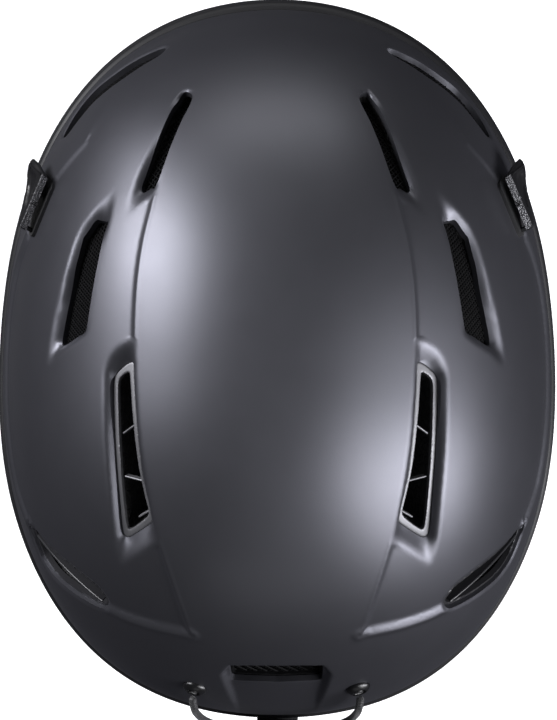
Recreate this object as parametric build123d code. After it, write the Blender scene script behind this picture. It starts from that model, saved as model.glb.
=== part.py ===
from build123d import *
import math, os

# Ski helmet, adult medium. Millimetres. The origin is where the head's central vertical axis
# meets the basic plane (ear canals and lower eye sockets). +Z is up, the face looks along -Y,
# +X is the wearer's left. Paired pieces are drawn on the left (side = 1) and mirrored (side = -1).

# ---------------------------------------------------------------- driving dimensions
# cosine series of the plan outline's radius; angle 0 is straight ahead
PLAN_SERIES = [124.0053, 4.4019, 16.3294, 1.9246, -0.8477, -0.0261, -0.6194, 0.0214, -0.2083]
PLAN_POINTS = 26        # spline points round each horizontal section
CROWN_Y = 6.0           # crown point behind the central axis
WIDEST_Z = 15.0         # height of the widest section
CROWN_H = 137.0         # crown above the widest section
DOME_BOTTOM = -64.0
DOME_LEVELS = (0.2, 0.4, 0.58, 0.73, 0.85, 0.93, 0.975, 0.996)  # sections, share of dome height
CURVE_POWER = 2.25      # superellipse power of the vertical sections
TUCK = 0.16             # how far the wall leans in, TUCK_DEPTH below the widest section
TUCK_DEPTH = 77.0
TUCK_POWER = 1.6
SHELL_T = 2.0           # hard shell thickness
LOWER_PROUD = 1.0       # lower shell stands out from the upper by this much
PART_GAP = 0.15         # between the two shells at the parting line
FOAM_GAP = 0.3          # shell to foam
FOAM_RIM_GAP = 1.2      # foam edge above the shell rim
FOAM_SIDE = 22.0        # shell outside to foam inside, at the sides
FOAM_END = 26.5         # the same at brow and nape
FOAM_TOP = 24.0         # the same at the crown
FRAME_TOP, FRAME_BOTTOM = -3.4, -5.6            # vent frame faces, from the outer form
CORD_D = 3.0            # shock cord
WEB_W, WEB_T = 18.0, 1.6                        # chin webbing
PIVOT_X, PIVOT_Y, PIVOT_Z = 75.5, 4.0, -44.0    # chin strap rivet
EAR_BAR_X, EAR_BAR_Z = 99.0, 22.5               # ear pad hinge bar, along Y
GROMMET_X, GROMMET_Y = 31.3, 125.6              # left cord grommet, in plan
ANCHOR_X, ANCHOR_Y, ANCHOR_Z = 91.0, 34.0, 29.0  # strap anchors, centred in x and y

SIDES = {"left": 1, "right": -1}
BOTH = (1, -1)
ALONG_Y = (0, 1, 0)

# ---------------------------------------------------------------- outlines (x, y) in plan, left
FRONT_VENT = [
    (30.9, -100.0), (32.2, -97.0), (35.2, -90.6), (39.5, -80.2), (42.8, -70.6), (44.4, -65.9),
    (49.9, -62.3), (50.6, -63.6), (47.6, -71.1), (43.4, -80.5), (38.6, -90.8), (34.7, -97.9)]
SIDE_VENT = [
    (63.8, -53.8), (65.3, -44.6), (68.4, -29.2), (71.1, -11.9), (71.9, -10.5), (79.4, -5.4),
    (81.2, -5.3), (78.8, -18.0), (75.6, -32.7), (72.0, -44.7), (70.0, -48.0), (66.6, -52.5)]
REAR_POCKET = [
    (53.3, -6.5), (56.8, -5.4), (60.8, -2.8), (63.2, 1.0), (64.1, 7.0), (64.2, 18.0),
    (63.8, 33.6), (62.6, 49.0), (60.9, 69.2), (58.7, 77.4), (54.3, 74.0), (45.9, 67.8),
    (44.9, 61.0), (48.6, 44.0), (50.6, 28.0), (51.9, 10.0)]
FRAME_OUT = [
    (52.8, 0.9), (53.9, 0.6), (56.3, 1.9), (59.9, 5.2), (60.9, 8.2), (60.8, 18.7),
    (60.0, 35.3), (59.1, 47.8), (57.9, 65.0), (56.5, 66.9), (54.7, 66.8), (46.1, 61.4),
    (45.5, 60.0), (46.4, 55.1), (49.4, 44.0), (50.7, 31.9), (51.9, 18.6), (52.5, 7.4)]
FRAME_IN = [
    (54.4, 4.1), (56.8, 5.4), (58.8, 7.4), (59.1, 10.7), (58.8, 25.3), (57.8, 45.2),
    (56.3, 63.6), (54.6, 64.2), (47.6, 59.1), (47.1, 57.1), (48.2, 52.6), (50.7, 41.4),
    (52.2, 30.2), (53.3, 18.6), (54.0, 7.8)]
# centre lines of the ribs across the frame, start and end
FRAME_RIBS = [((52.1, 23.9), (56.7, 27.3)), ((50.8, 45.2), (56.1, 43.9)),
              ((47.2, 56.7), (50.9, 58.8))]
EXHAUST = [
    (95.4, 61.4), (92.5, 67.1), (85.4, 74.3), (75.7, 81.4), (67.8, 87.3), (64.1, 92.7),
    (64.5, 94.1), (66.9, 94.2), (75.9, 89.8), (85.0, 83.4), (89.9, 76.7), (93.0, 68.6)]
EXHAUST_IN = [
    (93.7, 66.6), (91.2, 69.2), (84.6, 76.0), (76.0, 82.6), (68.8, 88.0), (66.3, 91.3),
    (66.8, 92.6), (75.2, 88.6), (84.0, 82.2), (88.6, 76.0), (91.6, 68.9)]

# brow vent: (x, y, z) outline, the point it is flattened about, and its direction
BROW_VENT = [
    (42.5, -119, 74.5), (54, -114.5, 73.5), (66, -106, 71), (77, -93.5, 68), (81.5, -86.5, 64.5),
    (80, -91.5, 59), (71, -104, 57.0), (58, -113.5, 59.5), (44.5, -120.5, 66)]
BROW_CENTRE = Vector(64, -107, 66)
BROW_NORMAL = Vector(62, -116, 34).normalized()

# side-view lines (y, z), front to back
RIM = [
    (-150, 44), (-120, 43.5), (-96, 41.5), (-72, 37), (-52, 31.5), (-40, 28.6), (-20, 28),
    (10, 28), (40, 28), (52, 22), (62, 8), (72, -6), (84, -12), (110, -10), (132, -7), (150, -6)]
PART = [
    (-150, 54), (-120, 53.5), (-90, 52), (-60, 47.5), (-30, 42), (0, 39), (40, 38), (70, 33),
    (100, 27), (150, 22)]


# ---------------------------------------------------------------- helpers
def save(shape, name):
    shape.label = name
    export_step(shape, f"parts/{name}.step")


def save_set(shapes, name):
    save(Compound(children=list(shapes)), name)


def largest(shape):
    return max(shape.solids(), key=lambda solid: solid.volume)


def mirrored(vector, side):
    """the left-hand vector as it is on the given side"""
    return Vector(vector.X * side, vector.Y, vector.Z)


def span(side, near, far):
    """x range from near to far, counted outwards on the given side, low end first"""
    return sorted((side * near, side * far))


def prism(points, push):
    wire = Wire.make_polygon([Vector(point) for point in points], close=True)
    return Solid.extrude(Face(wire), push)


def side_prism(outline, x0=-140, x1=140):
    """a side-view outline (y, z) pushed along X from x0 to x1"""
    return prism([(x0, y, z) for y, z in outline], Vector(x1 - x0, 0, 0))


def plan_prism(outline, z0=-80, z1=180):
    """a plan outline (x, y) pushed up from z0 to z1"""
    return prism([(x, y, z0) for x, y in outline], Vector(0, 0, z1 - z0))


def box(width, depth, height, y, z, x=0.0):
    """box centred on x, reaching back from y and up from z"""
    corner = Vector(x - width / 2, y, z)
    return Solid.make_box(width, depth, height, Plane(origin=corner))


def rod(radius, length, point, direction, start=0.0):
    """cylinder along direction, beginning at distance start from point"""
    origin = Vector(point) + Vector(direction) * start
    return Solid.make_cylinder(radius, length, Plane(origin=origin, z_dir=direction))


def rounded(shape, axis, radius):
    return fillet(shape.edges().filter_by(axis), radius)


# ---------------------------------------------------------------- the dome
def plan_radius(angle):
    return sum(c * math.cos(i * angle) for i, c in enumerate(PLAN_SERIES))


def level_scale(z, dome_h):
    """size of the section at height z, against the widest one"""
    if z >= WIDEST_Z:
        rise = min(1.0, (z - WIDEST_Z) / dome_h)
        return max(0.0, 1 - rise ** CURVE_POWER) ** (1 / CURVE_POWER)
    return 1 - TUCK * ((WIDEST_Z - z) / TUCK_DEPTH) ** TUCK_POWER


def foam_wall(angle):
    return FOAM_SIDE + (FOAM_END - FOAM_SIDE) * math.cos(angle) ** 2


def dome_height(offset, cavity):
    return CROWN_H + offset - (FOAM_TOP if cavity else 0)


def ring(z, offset, cavity):
    """closed horizontal section of the dome at height z, moved outwards by offset"""
    scale = level_scale(z, dome_height(offset, cavity))
    if cavity and z < WIDEST_Z:
        scale = 1.0
    points = []
    for i in range(PLAN_POINTS):
        angle = 2 * math.pi * i / PLAN_POINTS
        r = (plan_radius(angle) + offset - (foam_wall(angle) if cavity else 0)) * scale
        points.append(Vector(r * math.sin(angle), CROWN_Y - r * math.cos(angle), z))
    return Wire([Edge.make_spline(points, periodic=True)])


def dome(offset, cavity=False):
    """solid dome: the outer form (or the head cavity) moved outwards by offset"""
    levels = [DOME_BOTTOM, -26.0, WIDEST_Z]
    levels += [WIDEST_Z + dome_height(offset, cavity) * share for share in DOME_LEVELS]
    return Solid.make_loft([ring(z, offset, cavity) for z in levels])


def skin(outer, inner):
    """layer between two offsets of the outer form"""
    return dome(outer) - dome(inner)


def height(x, y):
    """height of the outer form over a plan point"""
    angle = math.atan2(x, -(y - CROWN_Y))
    s = min(1.0, math.hypot(x, y - CROWN_Y) / plan_radius(angle))
    return WIDEST_Z + CROWN_H * (1 - s ** CURVE_POWER) ** (1 / CURVE_POWER)


def normal_at(x, y):
    step = 0.5
    slope_x = (height(x + step, y) - height(x - step, y)) / (2 * step)
    slope_y = (height(x, y + step) - height(x, y - step)) / (2 * step)
    return Vector(-slope_x, -slope_y, 1).normalized()


def above(line, dz=0.0, top=260.0):
    """everything above a side-view line raised by dz"""
    return side_prism([(y, z + dz) for y, z in line] + [(150, top), (-150, top)])


# ---------------------------------------------------------------- openings
def edge_normal(start, end, turn):
    dx, dy = end[0] - start[0], end[1] - start[1]
    length = math.hypot(dx, dy)
    return dy / length * turn, -dx / length * turn


def grow(outline, margin):
    """outline moved outwards by margin, with mitred corners"""
    following = outline[1:] + outline[:1]
    area = sum(a[0] * b[1] - b[0] * a[1] for a, b in zip(outline, following))
    turn = 1 if area > 0 else -1
    grown = []
    for i, corner in enumerate(outline):
        n1 = edge_normal(outline[i - 1], corner, turn)
        n2 = edge_normal(corner, following[i], turn)
        mx, my = n1[0] + n2[0], n1[1] + n2[1]
        square = mx * mx + my * my
        # very sharp corners are not mitred, so that they don't shoot out
        factor = 2 * margin / square if square > 0.9 else margin
        grown.append((corner[0] + mx * factor, corner[1] + my * factor))
    return grown


def opening_prism(points, centre, normal, side, inside, outside, margin=0.0):
    """points flattened square to the normal at centre, pushed from outside to inside"""
    flat = []
    for point in points:
        offset = Vector(point) - centre
        offset = offset - normal * offset.dot(normal)
        offset = offset * (1 + margin / max(offset.length, 6))
        flat.append(mirrored(centre + offset + normal * outside, side))
    return prism(flat, mirrored(normal, side) * -(inside + outside))


def vent_prism(outline, side, inside, outside=14.0, margin=0.0):
    """a plan outline laid on the dome, pushed along the surface normal at its middle"""
    x = sum(p[0] for p in outline) / len(outline)
    y = sum(p[1] for p in outline) / len(outline)
    points = [(px, py, height(px, py)) for px, py in grow(outline, margin)]
    centre = Vector(x, y, height(x, y))
    return opening_prism(points, centre, normal_at(x, y), side, inside, outside)


def brow_prism(side, inside=40, margin=0.0):
    """long slot low on the front of the upper shell"""
    return opening_prism(BROW_VENT, BROW_CENTRE, BROW_NORMAL, side, inside, 14, margin)


def rear_slot(margin=0.0, y=150, depth=60):
    """slot in the back, pushed forwards and slightly down"""
    half_w = 18.3 + margin
    bottom, top = 80 - margin, 95 + margin
    corners = [(-half_w, y, bottom), (half_w, y, bottom), (half_w, y, top), (-half_w, y, top)]
    return prism(corners, Vector(0, -depth, -depth / 10))


def grommet_frame(side):
    """surface point and normal of a cord grommet"""
    centre = Vector(GROMMET_X, GROMMET_Y, height(GROMMET_X, GROMMET_Y))
    return mirrored(centre, side), mirrored(normal_at(GROMMET_X, GROMMET_Y), side)


os.makedirs("parts", exist_ok=True)
vent_cuts = [vent_prism(vent, side, 44) for side in BOTH for vent in (FRONT_VENT, SIDE_VENT)]


# ---------------------------------------------------------------- hard shells
def upper_shell():
    shell = skin(0.0, -SHELL_T) & above(PART)
    pockets = [vent_prism(REAR_POCKET, side, 20) for side in BOTH]
    exhausts = [vent_prism(EXHAUST, side, 40) for side in BOTH]
    brows = [brow_prism(side) for side in BOTH]
    for cut in vent_cuts + pockets + exhausts + brows + [rear_slot()]:
        shell = shell - cut
    for side in BOTH:
        shell = shell - rod(3.3, 20, *grommet_frame(side), start=-10)
    return largest(shell)


def lower_shell():
    band = above(RIM) - above(PART, -PART_GAP)
    return largest(skin(LOWER_PROUD, LOWER_PROUD - SHELL_T) & band)


save(upper_shell(), "upper_shell")
save(lower_shell(), "lower_shell")

# ---------------------------------------------------------------- foam liner
frame_top, frame_bottom = dome(FRAME_TOP), dome(FRAME_BOTTOM)
anchor_boxes = [box(9, 20, 12, y - 10, ANCHOR_Z, x=side * ANCHOR_X)
                for side in BOTH for y in (-ANCHOR_Y, ANCHOR_Y)]


def foam_liner():
    foam = dome(-SHELL_T - FOAM_GAP) & above(RIM, FOAM_RIM_GAP)
    foam = foam - dome(0.0, cavity=True)
    for cut in vent_cuts:
        foam = foam - cut
    # rear pockets stop under the vent frames, whose openings go right through
    for side in BOTH:
        pocket = vent_prism(REAR_POCKET, side, 26, margin=0.4)
        foam = foam - (pocket - frame_bottom) - vent_prism(FRAME_IN, side, 44)
    for side in BOTH:
        foam = foam - vent_prism(EXHAUST, side, 40, margin=0.6) - brow_prism(side, margin=0.8)
    foam = foam - rear_slot(margin=1.0)
    for anchor in anchor_boxes:
        foam = foam - anchor
    # wider pockets round the rear anchors
    for side in BOTH:
        foam = foam - box(18, 32, 12, 20, 18, x=side * 89.0)
    for side in BOTH:
        foam = foam - rod(4.6, 14, *grommet_frame(side), start=-12)
    # seat for the height rail
    foam = foam - box(28.4, 13.2, 31, 100, 9.5)
    return largest(foam)


save(foam_liner(), "foam_liner")

# ---------------------------------------------------------------- vent inserts
MESH_MARGIN = -0.15
RIB_HALF_W = 0.45
RIB_OVERLAP = 1.5       # rib carried back past its start, into the frame
BROW_HOLES, BROW_HOLE_R, BROW_HOLE_STEP = 6, 2.0, 6.0

mesh_skin = skin(-2.6, -3.8)
frame_skin = frame_top - frame_bottom
exhaust_skin = skin(-2.5, -4.5)
brow_skin = skin(-2.5, -4.0)


def vent_mesh(outline, side):
    solids = (vent_prism(outline, side, 12, margin=MESH_MARGIN) & mesh_skin).solids()
    return Compound(children=list(solids)) if len(solids) > 1 else solids[0]


def vent_frame(side):
    frame = vent_prism(FRAME_OUT, side, 22) - vent_prism(FRAME_IN, side, 30, 20)
    for (xa, ya), (xb, yb) in FRAME_RIBS:
        length = math.hypot(xb - xa, yb - ya)
        ux, uy = (xb - xa) / length, (yb - ya) / length
        xa, ya = xa - ux * RIB_OVERLAP, ya - uy * RIB_OVERLAP
        wx, wy = -uy * RIB_HALF_W, ux * RIB_HALF_W
        rib = [(xa + wx, ya + wy), (xb + wx, yb + wy), (xb - wx, yb - wy), (xa - wx, ya - wy)]
        frame = frame + vent_prism(rib, side, 16)
    return largest(frame & frame_skin)


def exhaust_grille(side):
    grille = vent_prism(EXHAUST, side, 26, margin=0.3)
    grille = grille - vent_prism(EXHAUST_IN, side, 32, 20)
    fin = box(60, 1.2, 60, 82.5, 60, x=side * 90)
    fin = fin & vent_prism(EXHAUST, side, 26, margin=-0.9)
    return largest((grille + fin) & exhaust_skin)


def brow_vent_insert(side):
    insert = brow_prism(side, inside=20, margin=0.5)
    for i in range(BROW_HOLES):
        along = (i - (BROW_HOLES - 1) / 2) * BROW_HOLE_STEP
        centre = Vector(62 + along * 0.75, -108.5 + along * 0.66, 66.0)
        insert = insert - rod(BROW_HOLE_R, 60, mirrored(centre, side),
                              mirrored(BROW_NORMAL, side), start=-30)
    return largest(insert & brow_skin)


def rear_vent_grille():
    inner = rear_slot(margin=-1.3, y=151, depth=70)
    bars = [box(1.4, 80, 30, 90, 70, x=x) for x in (-8.5, 0.0, 8.5)]
    grille = rear_slot(margin=0.7) - inner
    for bar in bars:
        grille = grille + (bar & inner)
    return largest(grille & skin(-2.6, -5.0))


for tag, side in SIDES.items():
    save(vent_mesh(FRONT_VENT, side), f"front_vent_mesh_{tag}")
    save(vent_mesh(SIDE_VENT, side), f"side_vent_mesh_{tag}")
for piece in (vent_frame, exhaust_grille, brow_vent_insert):
    for tag, side in SIDES.items():
        save(piece(side), f"{piece.__name__}_{tag}")
save(rear_vent_grille(), "rear_vent_grille")

# ---------------------------------------------------------------- side goggle clips
# side-view outlines (y, z)
CLIP_PLATE = [
    (-74.8, 62.5), (-73.4, 72.0), (-71.4, 80.3), (-70.0, 81.8), (-50.5, 76.0), (-49.6, 74.8),
    (-50.6, 71.6), (-62.0, 66.5), (-66.0, 62.5)]
CLIP_ROOT = [(-74.0, 62.5), (-73.2, 67.5), (-66.0, 67.5), (-63.6, 65.0), (-66.0, 62.5)]
CLIP_LIP = [(-76.2, 62.5), (-75.0, 72.0), (-73.0, 74.5), (-69.0, 70.0), (-66.2, 62.5)]
SCREW_Y, SCREW_Z = -69.6, 65.2
SOCKET_R = 1.1          # hexagon socket, centre to corner

clip_outer, clip_inner, clip_face, clip_flare = dome(5.7), dome(3.0), dome(0.12), dome(7.6)


def clip_screw_frame(side):
    """point on the shell and its normal, found by stepping outwards at the screw's height"""
    x = 50.0
    while height(x, SCREW_Y) > SCREW_Z:
        x += 0.1
    normal = normal_at(x - 0.2, SCREW_Y)
    return mirrored(Vector(x, SCREW_Y, SCREW_Z), side), mirrored(normal, side)


def goggle_clip(side):
    x_range = span(side, 60, 130)
    plate = (clip_outer - clip_inner) & side_prism(CLIP_PLATE, *x_range)
    root = (clip_inner - clip_face) & side_prism(CLIP_ROOT, *x_range)
    lip = (clip_flare - clip_inner) & side_prism(CLIP_LIP, *x_range)
    clip = plate + root + lip
    return largest(clip - rod(1.5, 24, *clip_screw_frame(side), start=-10))


def clip_screw(side):
    point, normal = clip_screw_frame(side)
    body = rod(1.4, 7.6, point, normal, start=0.1) + rod(2.4, 1.1, point, normal, start=7.65)
    plane = Plane(origin=point, z_dir=normal)
    corners = []
    for i in range(6):
        angle = i * math.pi / 3
        spoke = plane.x_dir * math.cos(angle) + plane.y_dir * math.sin(angle)
        corners.append(point + normal * 8.1 + spoke * SOCKET_R)
    return (body - prism(corners, normal * 2)).solids()[0]


for tag, side in SIDES.items():
    save(goggle_clip(side), f"goggle_clip_{tag}")
save_set([clip_screw(side) for side in BOTH], "clip_screws")

# ---------------------------------------------------------------- rear goggle loop
CORD_START = 3.9        # cord begins this far out from the shell at the grommet
# left cord centre line after its start (x, y, z)
CORD_POINTS = [
    (31.6, 133.6, 69.5), (30.6, 136.2, 61.0), (27.6, 139.2, 51.0), (21.5, 141.9, 42.0),
    (15.0, 143.2, 36.4), (9.5, 143.6, 33.0)]
HOOK_Y, HOOK_T = 141.8, 3.6


def cord_grommet(side):
    frame = grommet_frame(side)
    grommet = rod(3.2, 6.5, *frame, start=-4.5) + rod(4.8, 1.0, *frame, start=1.2)
    grommet = grommet + rod(4.4, 1.0, *frame, start=-4.6)
    return (grommet - rod(2.1, 20, *frame, start=-10)).solids()[0]


def cord_end(side):
    """stub of cord through the grommet, with a ball at its inner end"""
    point, normal = grommet_frame(side)
    ball = Solid.make_sphere(3.2, Plane(origin=point - normal * 8))
    return (rod(CORD_D / 2, 10.2, point, normal, start=-8) + ball).solids()[0]


def goggle_cord(side):
    point, normal = grommet_frame(1)
    left = [point + normal * CORD_START] + [Vector(p) for p in CORD_POINTS]
    points = [mirrored(p, side) for p in left]
    path = Edge.make_spline(points)
    section_plane = Plane(origin=points[0], z_dir=path.tangent_at(0))
    section = Face(Wire([Edge.make_circle(CORD_D / 2, section_plane)]))
    cord = Solid.sweep(section, Wire([path]))
    return (cord + Solid.make_sphere(CORD_D / 2, Plane(origin=points[0]))).solids()[0]


def goggle_hook(cords):
    hook = rounded(box(30, HOOK_T, 15, HOOK_Y, 20.5), Axis.Y, 4.0)
    for cord in cords:
        hook = hook - cord
    hook = (hook + box(12, HOOK_T, 10, HOOK_Y, 12.5)).solids()[0]
    # grooves across the rear face
    for i in range(4):
        hook = hook - box(18, 1.0, 1.0, 144.8, 24 + i * 2.2)
    return hook.solids()[0]


def hook_catch():
    """ledge and upstand on the back of the lower shell"""
    catch = box(16, 3.0, 4.0, 138.4, 6.2) + box(16, 1.4, 5.0, 141.3, 6.2)
    return largest(catch - dome(LOWER_PROUD + 0.02))


save_set([cord_grommet(side) for side in BOTH], "cord_grommets")
save_set([cord_end(side) for side in BOTH], "cord_ends")
cords = [goggle_cord(side) for side in BOTH]
save(goggle_hook(cords), "goggle_hook")
save_set(cords, "goggle_cord")
save(hook_catch(), "hook_catch")

# ---------------------------------------------------------------- comfort liner
BROW_PAD_VIEW = [(-140, 46), (-140, 66), (-60, 62), (-60, 46)]          # (y, z)
BROW_PAD_TRIM = [(-120, -62), (120, -62), (120, 60), (-120, 60)]        # (x, y) behind the pad
CROWN_PAD_PLAN = [
    (-20, -74), (20, -74), (30, -48), (30, 50), (18, 72), (-18, 72), (-30, 50), (-30, -48)]
SIDE_PAD_VIEW = [(-56, 60), (-50, 92), (-20, 112), (30, 112), (58, 96), (64, 60)]

pad_layer = dome(-0.4, cavity=True) - dome(-7.0, cavity=True)


def brow_pad():
    return largest((pad_layer & side_prism(BROW_PAD_VIEW)) - plan_prism(BROW_PAD_TRIM))


def crown_pad():
    pad = pad_layer & plan_prism(CROWN_PAD_PLAN)
    return largest(pad & box(200, 300, 100, -150, 70))


def side_pad(side):
    pad = pad_layer & side_prism(SIDE_PAD_VIEW, *span(side, 36, 130))
    return largest(pad & box(400, 300, 54, -150, 60))


save(brow_pad(), "brow_pad")
save(crown_pad(), "crown_pad")
for tag, side in SIDES.items():
    save(side_pad(side), f"side_pad_{tag}")

# ---------------------------------------------------------------- ear pads
# side-view outline (y, z), smoothed by a closed spline
EAR_PAD = [
    (-37, 26.0), (-41, 8), (-36, -18), (-22, -40), (2, -51), (26, -48), (42, -32), (49, -6),
    (48, 16), (41, 26.0)]

ear_outer, ear_inner = dome(-0.4), dome(-14.3)


def ear_pad(side):
    x0, x1 = span(side, 50, 130)
    outline = Edge.make_spline([Vector(x0, y, z) for y, z in EAR_PAD], periodic=True)
    block = Solid.extrude(Face(Wire([outline])), Vector(x1 - x0, 0, 0))
    pad = largest((ear_outer - ear_inner) & block)
    # hinge bar hole along the top edge
    pad = pad - rod(2.2, 76, (EAR_BAR_X * side, -36, EAR_BAR_Z), ALONG_Y)
    # keep room for the foam above while it swings
    pad = pad - box(60, 120, 6, -60, 24.6, x=side * 100)
    return largest(pad)


def ear_pad_bar(side):
    return rod(1.9, 70, (EAR_BAR_X * side, -33, EAR_BAR_Z), ALONG_Y)


for tag, side in SIDES.items():
    save(ear_pad(side), f"ear_pad_{tag}")
    save(ear_pad_bar(side), f"ear_pad_bar_{tag}")

# ---------------------------------------------------------------- straps above the rivet
STRAP_W, STRAP_T = 15, 1.5
STRAP_TOP_X, STRAP_TOP_Y, STRAP_TOP_Z = 88.5, 36.5, 36   # y is minus at the front, plus behind
STRAP_END_X, STRAP_END_Z = 78.5, -33
FRONT_END_Y, REAR_END_Y = -1.5, 9.5
DIVIDER_T = 3.0
RIVET_R, RIVET_X = 2.9, 71.8


def upper_strap(side, top_y, end_y):
    """flat strap, thin along X, cut level under the anchors"""
    top = Vector(STRAP_TOP_X * side, top_y, STRAP_TOP_Z)
    end = Vector(STRAP_END_X * side, end_y, STRAP_END_Z)
    direction = (end - top).normalized()
    across = direction.cross(Vector(1, 0, 0)).normalized()
    through = across.cross(direction).normalized()
    half_w, half_t = across * STRAP_W / 2, through * STRAP_T / 2
    corners = [top + half_w + half_t, top - half_w + half_t,
               top - half_w - half_t, top + half_w - half_t]
    return prism(corners, end - top) - box(60, 140, 40, -70, ANCHOR_Z, x=side * 90)


def pivot_rod(radius, length, x, side):
    """rod on the rivet's axis, from x outwards"""
    return rod(radius, length, (side * x, PIVOT_Y, PIVOT_Z), (side, 0, 0))


def pivot_rivet(side):
    rivet = pivot_rod(RIVET_R, 8.2, RIVET_X, side) + pivot_rod(5.0, 1.0, RIVET_X, side)
    return rivet.solids()[0]


def save_upper_straps(tag, side):
    """both straps, the divider where they meet, and the rivet"""
    front = upper_strap(side, -STRAP_TOP_Y, FRONT_END_Y)
    rear = upper_strap(side, STRAP_TOP_Y, REAR_END_Y)
    x = side * STRAP_END_X
    divider = rounded(box(DIVIDER_T, 26, 14, PIVOT_Y - 13, PIVOT_Z + 2, x=x), Axis.X, 3.0)
    lug = box(DIVIDER_T, 14, 16, PIVOT_Y - 7, PIVOT_Z - 7, x=x)
    divider = (divider + lug).solids()[0]
    save(largest(front - divider - rear), f"front_strap_{tag}")
    save(largest(rear - divider), f"rear_strap_{tag}")
    divider = divider - pivot_rod(RIVET_R, 30, 65, side)
    save(divider.solids()[0], f"strap_divider_{tag}")
    save(pivot_rivet(side), f"pivot_rivet_{tag}")


save_set([anchor.solids()[0] for anchor in anchor_boxes], "strap_anchors")
for tag, side in SIDES.items():
    save_upper_straps(tag, side)

# ---------------------------------------------------------------- chin strap, in a tilted plane
# loop coordinates: x, and distance down from the rivet axis, forwards and down
TILT = math.radians(35)
LOOP_DOWN = Vector(0, -math.sin(TILT), -math.cos(TILT))
LOOP_NORMAL = Vector(0, math.cos(TILT), -math.sin(TILT))
PIVOT = Vector(0, PIVOT_Y, PIVOT_Z)

# buckle coordinates within the loop: along the webbing towards the right, and outwards from it
BUCKLE_CENTRE = (38.0, 62.0)
BUCKLE_ALONG = (-0.8944, 0.4472)
BUCKLE_OUT = (0.4472, 0.8944)


def loop_point(x, down):
    return PIVOT + Vector(x, 0, 0) + LOOP_DOWN * down


def in_buckle(along, out):
    """loop coordinates of a buckle point"""
    return (BUCKLE_CENTRE[0] + BUCKLE_ALONG[0] * along + BUCKLE_OUT[0] * out,
            BUCKLE_CENTRE[1] + BUCKLE_ALONG[1] * along + BUCKLE_OUT[1] * out)


def ribbon_face(points, thickness, axis, samples):
    """edge-on face of a ribbon: a spline through points, thickened square to axis"""
    path = Edge.make_spline(points)
    one_side, other_side = [], []
    for i in range(samples + 1):
        point, tangent = path.position_at(i / samples), path.tangent_at(i / samples)
        normal = tangent.cross(axis).normalized()
        one_side.append(point + normal * thickness / 2)
        other_side.append(point - normal * thickness / 2)
    return Face(Wire([
        Edge.make_spline(one_side), Edge.make_line(one_side[-1], other_side[-1]),
        Edge.make_spline(other_side[::-1]), Edge.make_line(other_side[0], one_side[0])]))


def loop_strip(points, thickness, width):
    """band along a path in the loop plane, centred on that plane"""
    face = ribbon_face([loop_point(*p) for p in points], thickness, LOOP_NORMAL, 48)
    band = Solid.extrude(face, LOOP_NORMAL * width)
    return band.moved(Location(LOOP_NORMAL * (-width / 2)))


def buckle_ring(profile, half_angle):
    """buckle profile swung about the rivet axis, half_angle degrees each way"""
    points = [loop_point(*in_buckle(along, out)) for along, out in profile]
    face = Face(Wire.make_polygon(points, close=True))
    axis = Axis(PIVOT, Vector(1, 0, 0))
    return Solid.revolve(face, 2 * half_angle, axis).rotate(axis, -half_angle)


# centre lines in loop coordinates
LEFT_WEB = [(PIVOT_X, -8), (PIVOT_X, 8), (74.0, 24), (67.6, 41),
            in_buckle(-22, 2.5), in_buckle(-14, 2.5), in_buckle(-7, 2.5)]
RIGHT_WEB = [(-PIVOT_X, -8), (-PIVOT_X, 8), (-74.0, 24), (-67.0, 41), (-54.0, 54.5),
             (-36.0, 64.5), (-14.0, 70.8), (4.0, 71.4),
             in_buckle(22, -3.6), in_buckle(14, -3.6), in_buckle(7, -3.6)]
CHIN_PAD = [(-34.0, 65.3), (-14.0, 70.8), (0.0, 71.55), (8.0, 71.0)]
KEEPER = [(-73.6, 26.0), (-72.0, 31.0), (-69.6, 36.5)]
KEEPER_HOLE = [(-75.4, 14.0), (-74.0, 24), (-67.0, 41), (-60, 49)]
# profiles in buckle coordinates (along, out)
BASE_PROFILE = [(-23, 0.9), (2, 0.9), (2, -2.0), (5, -2.0), (5, 0.9), (15, 0.9), (17, 2.0),
                (16, 4.2), (-21, 4.4), (-23, 3.4)]
LATCH_PROFILE = [(-17, -4.8), (-15, -5.4), (20, -5.4), (23, -4.4), (23, -2.4), (1.6, -2.4),
                 (1.6, 0.5), (-1.6, 0.5), (-1.6, -2.4), (-16, -2.4)]
BASE_MAGNET = [(8.2, 1.3), (13.2, 1.3), (13.2, 3.6), (8.2, 3.6)]
LATCH_MAGNET = [(-12.6, -4.7), (-7.6, -4.7), (-7.6, -2.8), (-12.6, -2.8)]
MAGNET_HALF_ANGLE = 4.5


def chin_strap(points, side):
    strap = loop_strip(points, WEB_T, WEB_W) - pivot_rod(3.0, 20, 66, side)
    return strap.solids()[0]


def strap_keeper():
    """short sleeve round the right webbing"""
    keeper = loop_strip(KEEPER, 5.4, 22) - loop_strip(KEEPER_HOLE, 3.4, 19)
    keeper = keeper - web_right
    # slivers are dropped
    solids = [solid for solid in keeper.solids() if solid.volume > 20]
    return Compound(children=solids) if len(solids) > 1 else largest(keeper)


web_left, web_right = chin_strap(LEFT_WEB, 1), chin_strap(RIGHT_WEB, -1)
base = buckle_ring(BASE_PROFILE, 11.5)
latch = buckle_ring(LATCH_PROFILE, 10.6)
magnet_base = buckle_ring(BASE_MAGNET, MAGNET_HALF_ANGLE)
magnet_latch = buckle_ring(LATCH_MAGNET, MAGNET_HALF_ANGLE)
save(largest(base - web_left - magnet_base), "buckle_base")
save(largest(latch - web_right - magnet_latch), "buckle_latch")
save(magnet_base, "magnet_base")
save(magnet_latch, "magnet_latch")
save(web_left, "chin_strap_left")
save(web_right, "chin_strap_right")
save(largest(loop_strip(CHIN_PAD, 9.0, 30) - web_right - latch), "chin_pad")
save(strap_keeper(), "strap_keeper")

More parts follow.
